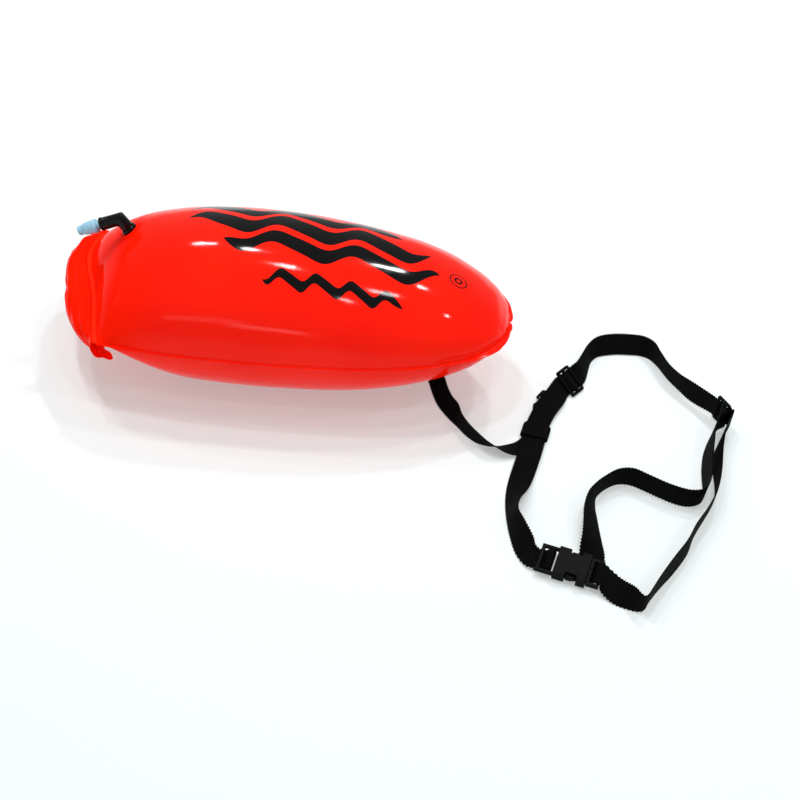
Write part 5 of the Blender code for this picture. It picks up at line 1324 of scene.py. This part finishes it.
# %% Thread and stitches
STITCH_LENGTH = 0.0026
THREAD_RADIUS = 0.00030
STITCH_SHARE = 0.86
THREAD_PROUD_SHARE = 0.3
TWIST_PER_METRE = 3200.0
TWIST_DEPTH = 0.0002
BOX_LINE_POINTS = 12


def thread_material():
    """Bonded polyester thread: black, lightly waxed, with its twist as a fine bump."""
    made, tree, shader = new_material("bonded_thread")
    coords = add(tree, "ShaderNodeTexCoord").outputs["Object"]
    twist = noise(tree, coords, TWIST_PER_METRE, 2.0)
    feed(tree, shader, {"Base Color": tint(tree, twist, "050506", "0E0E0F"),
                        "Normal": bump(tree, twist, 0.6, TWIST_DEPTH),
                        "Roughness": 0.42, "Specular IOR Level": 0.15})
    return made


def stitch_tree(paint):
    """Node group that puts one bead of thread on every stitch of a line."""
    group = bpy.data.node_groups.new("stitches", "GeometryNodeTree")
    group.interface.new_socket("Line", in_out="INPUT", socket_type="NodeSocketGeometry")
    spaced = group.interface.new_socket("Stitch length", in_out="INPUT", socket_type="NodeSocketFloat")
    thick = group.interface.new_socket("Thread radius", in_out="INPUT", socket_type="NodeSocketFloat")
    group.interface.new_socket("Geometry", in_out="OUTPUT", socket_type="NodeSocketGeometry")
    given = add(group, "NodeGroupInput").outputs
    curve = add(group, "GeometryNodeMeshToCurve", None, {"Mesh": given["Line"]})
    cut = add(group, "GeometryNodeResampleCurve", {"mode": "LENGTH"},
              {"Curve": curve.outputs[0], "Length": given["Stitch length"]})
    bead = add(group, "GeometryNodeMeshUVSphere", None, {"Segments": 8, "Rings": 6, "Radius": 1.0})
    along = add(group, "GeometryNodeInputTangent")
    turn = add(group, "FunctionNodeAlignRotationToVector", {"axis": "Z"}, {"Vector": along.outputs[0]})
    half = add(group, "ShaderNodeMath", {"operation": "MULTIPLY"},
               {0: given["Stitch length"], 1: STITCH_SHARE / 2})
    size = add(group, "ShaderNodeCombineXYZ", None, {0: given["Thread radius"], 1: given["Thread radius"],
                                                     2: half.outputs[0]})
    beads = add(group, "GeometryNodeInstanceOnPoints", None,
                {"Points": cut.outputs[0], "Instance": bead.outputs[0], "Rotation": turn.outputs[0],
                 "Scale": size.outputs[0]})
    real = add(group, "GeometryNodeRealizeInstances", None, {0: beads.outputs[0]})
    painted = add(group, "GeometryNodeSetMaterial", None, {"Geometry": real.outputs[0], "Material": paint})
    smooth = add(group, "GeometryNodeSetShadeSmooth", None, {0: painted.outputs[0]})
    out = add(group, "NodeGroupOutput")
    group.links.new(smooth.outputs[0], out.inputs[0])
    return group, spaced.identifier, thick.identifier


thread = thread_material()
stitches, LENGTH_INPUT, RADIUS_INPUT = stitch_tree(thread)


def sew(name, lines):
    """Stitches along lists of points, as a plain mesh piece."""
    points, edges = [], []
    for line in lines:
        base = len(points)
        points += [tuple(map(float, p)) for p in line]
        edges += [(base + i, base + i + 1) for i in range(len(line) - 1)]
    mesh = bpy.data.meshes.new(name + "_line")
    mesh.from_pydata(points, edges, [])
    made = put(name, mesh)
    rows = made.modifiers.new("stitches", "NODES")
    rows.node_group = stitches
    rows[LENGTH_INPUT] = STITCH_LENGTH
    rows[RADIUS_INPUT] = THREAD_RADIUS
    bpy.context.view_layer.update()
    sewn = bpy.data.meshes.new_from_object(made.evaluated_get(bpy.context.evaluated_depsgraph_get()))
    made.modifiers.clear()
    made.data = sewn
    return made


def on_tape(laid, far, across, thickness, side):
    """Point on one face of a tape, by its distance along the tape and its place across it."""
    values = []
    for key in ("centre", "across", "face"):
        values.append(np.array([np.interp(far, laid["far"], laid[key][:, i]) for i in range(3)]))
    centre, wide, face = values
    return centre + wide * across + face * side * (thickness / 2 + THREAD_RADIUS * THREAD_PROUD_SHARE)


def sewn_box(laid, start, end, half, thickness, side, cross=True):
    """Box of stitches on a tape, crossed from corner to corner."""
    corners = [(start, -half), (end, -half), (end, half), (start, half), (start, -half)]
    runs = [corners, [(start, -half), (end, half)], [(start, half), (end, -half)]] if cross else [corners]
    lines = []
    for run in runs:
        for (f0, a0), (f1, a1) in zip(run[:-1], run[1:]):
            lines.append([on_tape(laid, f0 + (f1 - f0) * t, a0 + (a1 - a0) * t, thickness, side)
                          for t in np.linspace(0, 1, BOX_LINE_POINTS)])
    return lines


def far_near(laid, place, after=0.0):
    """Distance along a tape at which it passes closest to a place."""
    gap = np.linalg.norm(laid["centre"] - np.array(place), axis=1)
    gap[laid["far"] < after] = np.inf
    return float(laid["far"][int(gap.argmin())])


def top_side(laid, far):
    """Which face of the tape looks up at a place along it."""
    row = int(np.searchsorted(laid["far"], far))
    return 1 if laid["face"][row][2] > 0 else -1


# %% Sewn boxes on the tapes
BUCKLE_BOX_PLACE = (0.2930, -0.2490, 0.0040)
BUCKLE_BOX_AFTER = 0.030
BUCKLE_BOX_LENGTH = 0.014
END_BOX_MARGIN = 0.0015
ADJUSTER_BOX_START = 0.0065
SLIDER_BOX_START = 0.0080
BELT_BOX_HALF = 0.0100
TETHER_BOX_HALF = 0.0080
belt_end, tether_end = float(belt["far"][-1]), float(tether["far"][-1])
sewn_from = far_near(belt, BUCKLE_BOX_PLACE, BUCKLE_BOX_AFTER)
boxes = {
    "belt_sewn_at_buckle": sewn_box(belt, sewn_from, sewn_from + BUCKLE_BOX_LENGTH, BELT_BOX_HALF,
                                    BELT_THICKNESS, top_side(belt, sewn_from)),
    "belt_sewn_at_adjuster": sewn_box(belt, belt_end - ADJUSTER_BOX_START, belt_end - END_BOX_MARGIN,
                                      BELT_BOX_HALF, BELT_THICKNESS, -1, False),
    "tether_sewn_at_slider": sewn_box(tether, tether_end - SLIDER_BOX_START, tether_end - END_BOX_MARGIN,
                                      TETHER_BOX_HALF, LEASH_THICKNESS,
                                      top_side(tether, tether_end - SLIDER_BOX_START / 2), False),
}
for name, lines in boxes.items():
    made = sew(name, lines)
    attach(made, MAIN_BODY)
    print(name, len(made.data.polygons), "faces")

# %% Belt and tether as cords
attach(belt_tape, MAIN_BODY)
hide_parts("belt_webbing")
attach(tether_tape, MAIN_BODY)
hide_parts("leash_webbing")
print("cords:", round(belt_end, 3), "and", round(tether_end, 3), "m long")

# %% [markdown]
# ## Floor, lights and surround
#
# The photograph was taken on a white floor under ceiling lamps. The floor here is a pale plane that
# keeps the soft shadows, and it shows the camera a share of plain white besides. Round ceiling lamps
# give the overlapping shadows that fall towards the viewer and the small bright ovals that the film
# mirrors, and low window panels give its side a long faint streak. The surround is even dim light.

# %% Floor
FLOOR_SIZE = 6.0
FLOOR_WHITE = 0.32
floor_paint, floor_tree, floor_shader = new_material("painted_floor")
feed(floor_tree, floor_shader, {"Base Color": linear("E5EFEF"), "Roughness": 0.9,
                                "Specular IOR Level": 0.1})
looks = floor_tree.nodes.new("ShaderNodeLightPath").outputs
seen = reckon(floor_tree, "MAXIMUM", looks["Is Camera Ray"], looks["Is Glossy Ray"])
seen = reckon(floor_tree, "MAXIMUM", seen, looks["Is Transmission Ray"])
white = add(floor_tree, "ShaderNodeEmission", None, {"Strength": 1.0})
lit = add(floor_tree, "ShaderNodeMixShader", None, {0: reckon(floor_tree, "MULTIPLY", seen, FLOOR_WHITE),
                                                    1: floor_shader.outputs[0], 2: white.outputs[0]})
floor_tree.links.new(lit.outputs[0], floor_tree.nodes["Material Output"].inputs["Surface"])
half = FLOOR_SIZE / 2
floor = show("floor", [(-half, -half, 0), (half, -half, 0), (half, half, 0), (-half, half, 0)],
             [(0, 1, 2, 3)], floor_paint, smooth=False)
for p in floor.data.polygons:
    if p.normal.z < 0:
        floor.data.flip_normals()
print("floor:", FLOOR_SIZE, "m square")

# %% Lights
WORLD_LEVEL = 0.46
CEILING_HEIGHT = 2.2
# Place and power of each ceiling lamp, then place, width and height of each window panel.
CEILING_LAMPS = [(-0.50, 0.71, 9.5), (-0.20, 0.12, 7.5), (0.60, 1.34, 17.0), (1.07, 0.76, 10.0),
                 (0.66, -0.06, 4.5), (0.35, -0.87, 3.5), (1.90, -0.28, 7.0), (-1.10, 0.95, 9.0)]
CEILING_SIZE = 0.17
WINDOWS = [((-1.10, -2.70, 1.10), 0.9, 0.30), ((-0.55, -3.00, 0.90), 0.5, 0.22),
           ((-3.00, 0.20, 0.55), 0.4, 0.5)]
WINDOW_POWER = 1.4
world = bpy.data.worlds.new("surround")
bpy.context.scene.world = world
world.use_nodes = True
back = world.node_tree.nodes["Background"]
back.inputs["Color"].default_value = (1.0, 1.0, 1.0, 1.0)
back.inputs["Strength"].default_value = WORLD_LEVEL


def lamp(name, place, aim, size, power, shape="SQUARE", long=None):
    """Area lamp aimed at a point."""
    data = bpy.data.lights.new(name, "AREA")
    data.shape = shape
    data.size = size
    if long:
        data.size_y = long
    data.energy = power
    made = put(name, data)
    made.location = place
    made.rotation_euler = (Vector(aim) - Vector(place)).to_track_quat("-Z", "Y").to_euler()


AIM = (0.08, -0.06, 0.05)
for number, (x, y, power) in enumerate(CEILING_LAMPS):
    lamp(f"ceiling_{number}", (x, y, CEILING_HEIGHT), (x, y, 0.0), CEILING_SIZE, power, "DISK")
for number, (place, wide, tall) in enumerate(WINDOWS):
    lamp(f"window_{number}", place, AIM, wide, WINDOW_POWER, "RECTANGLE", tall)

bpy.context.scene.view_settings.view_transform = "Standard"
print(len(CEILING_LAMPS), "ceiling lamps and", len(WINDOWS), "window panels")
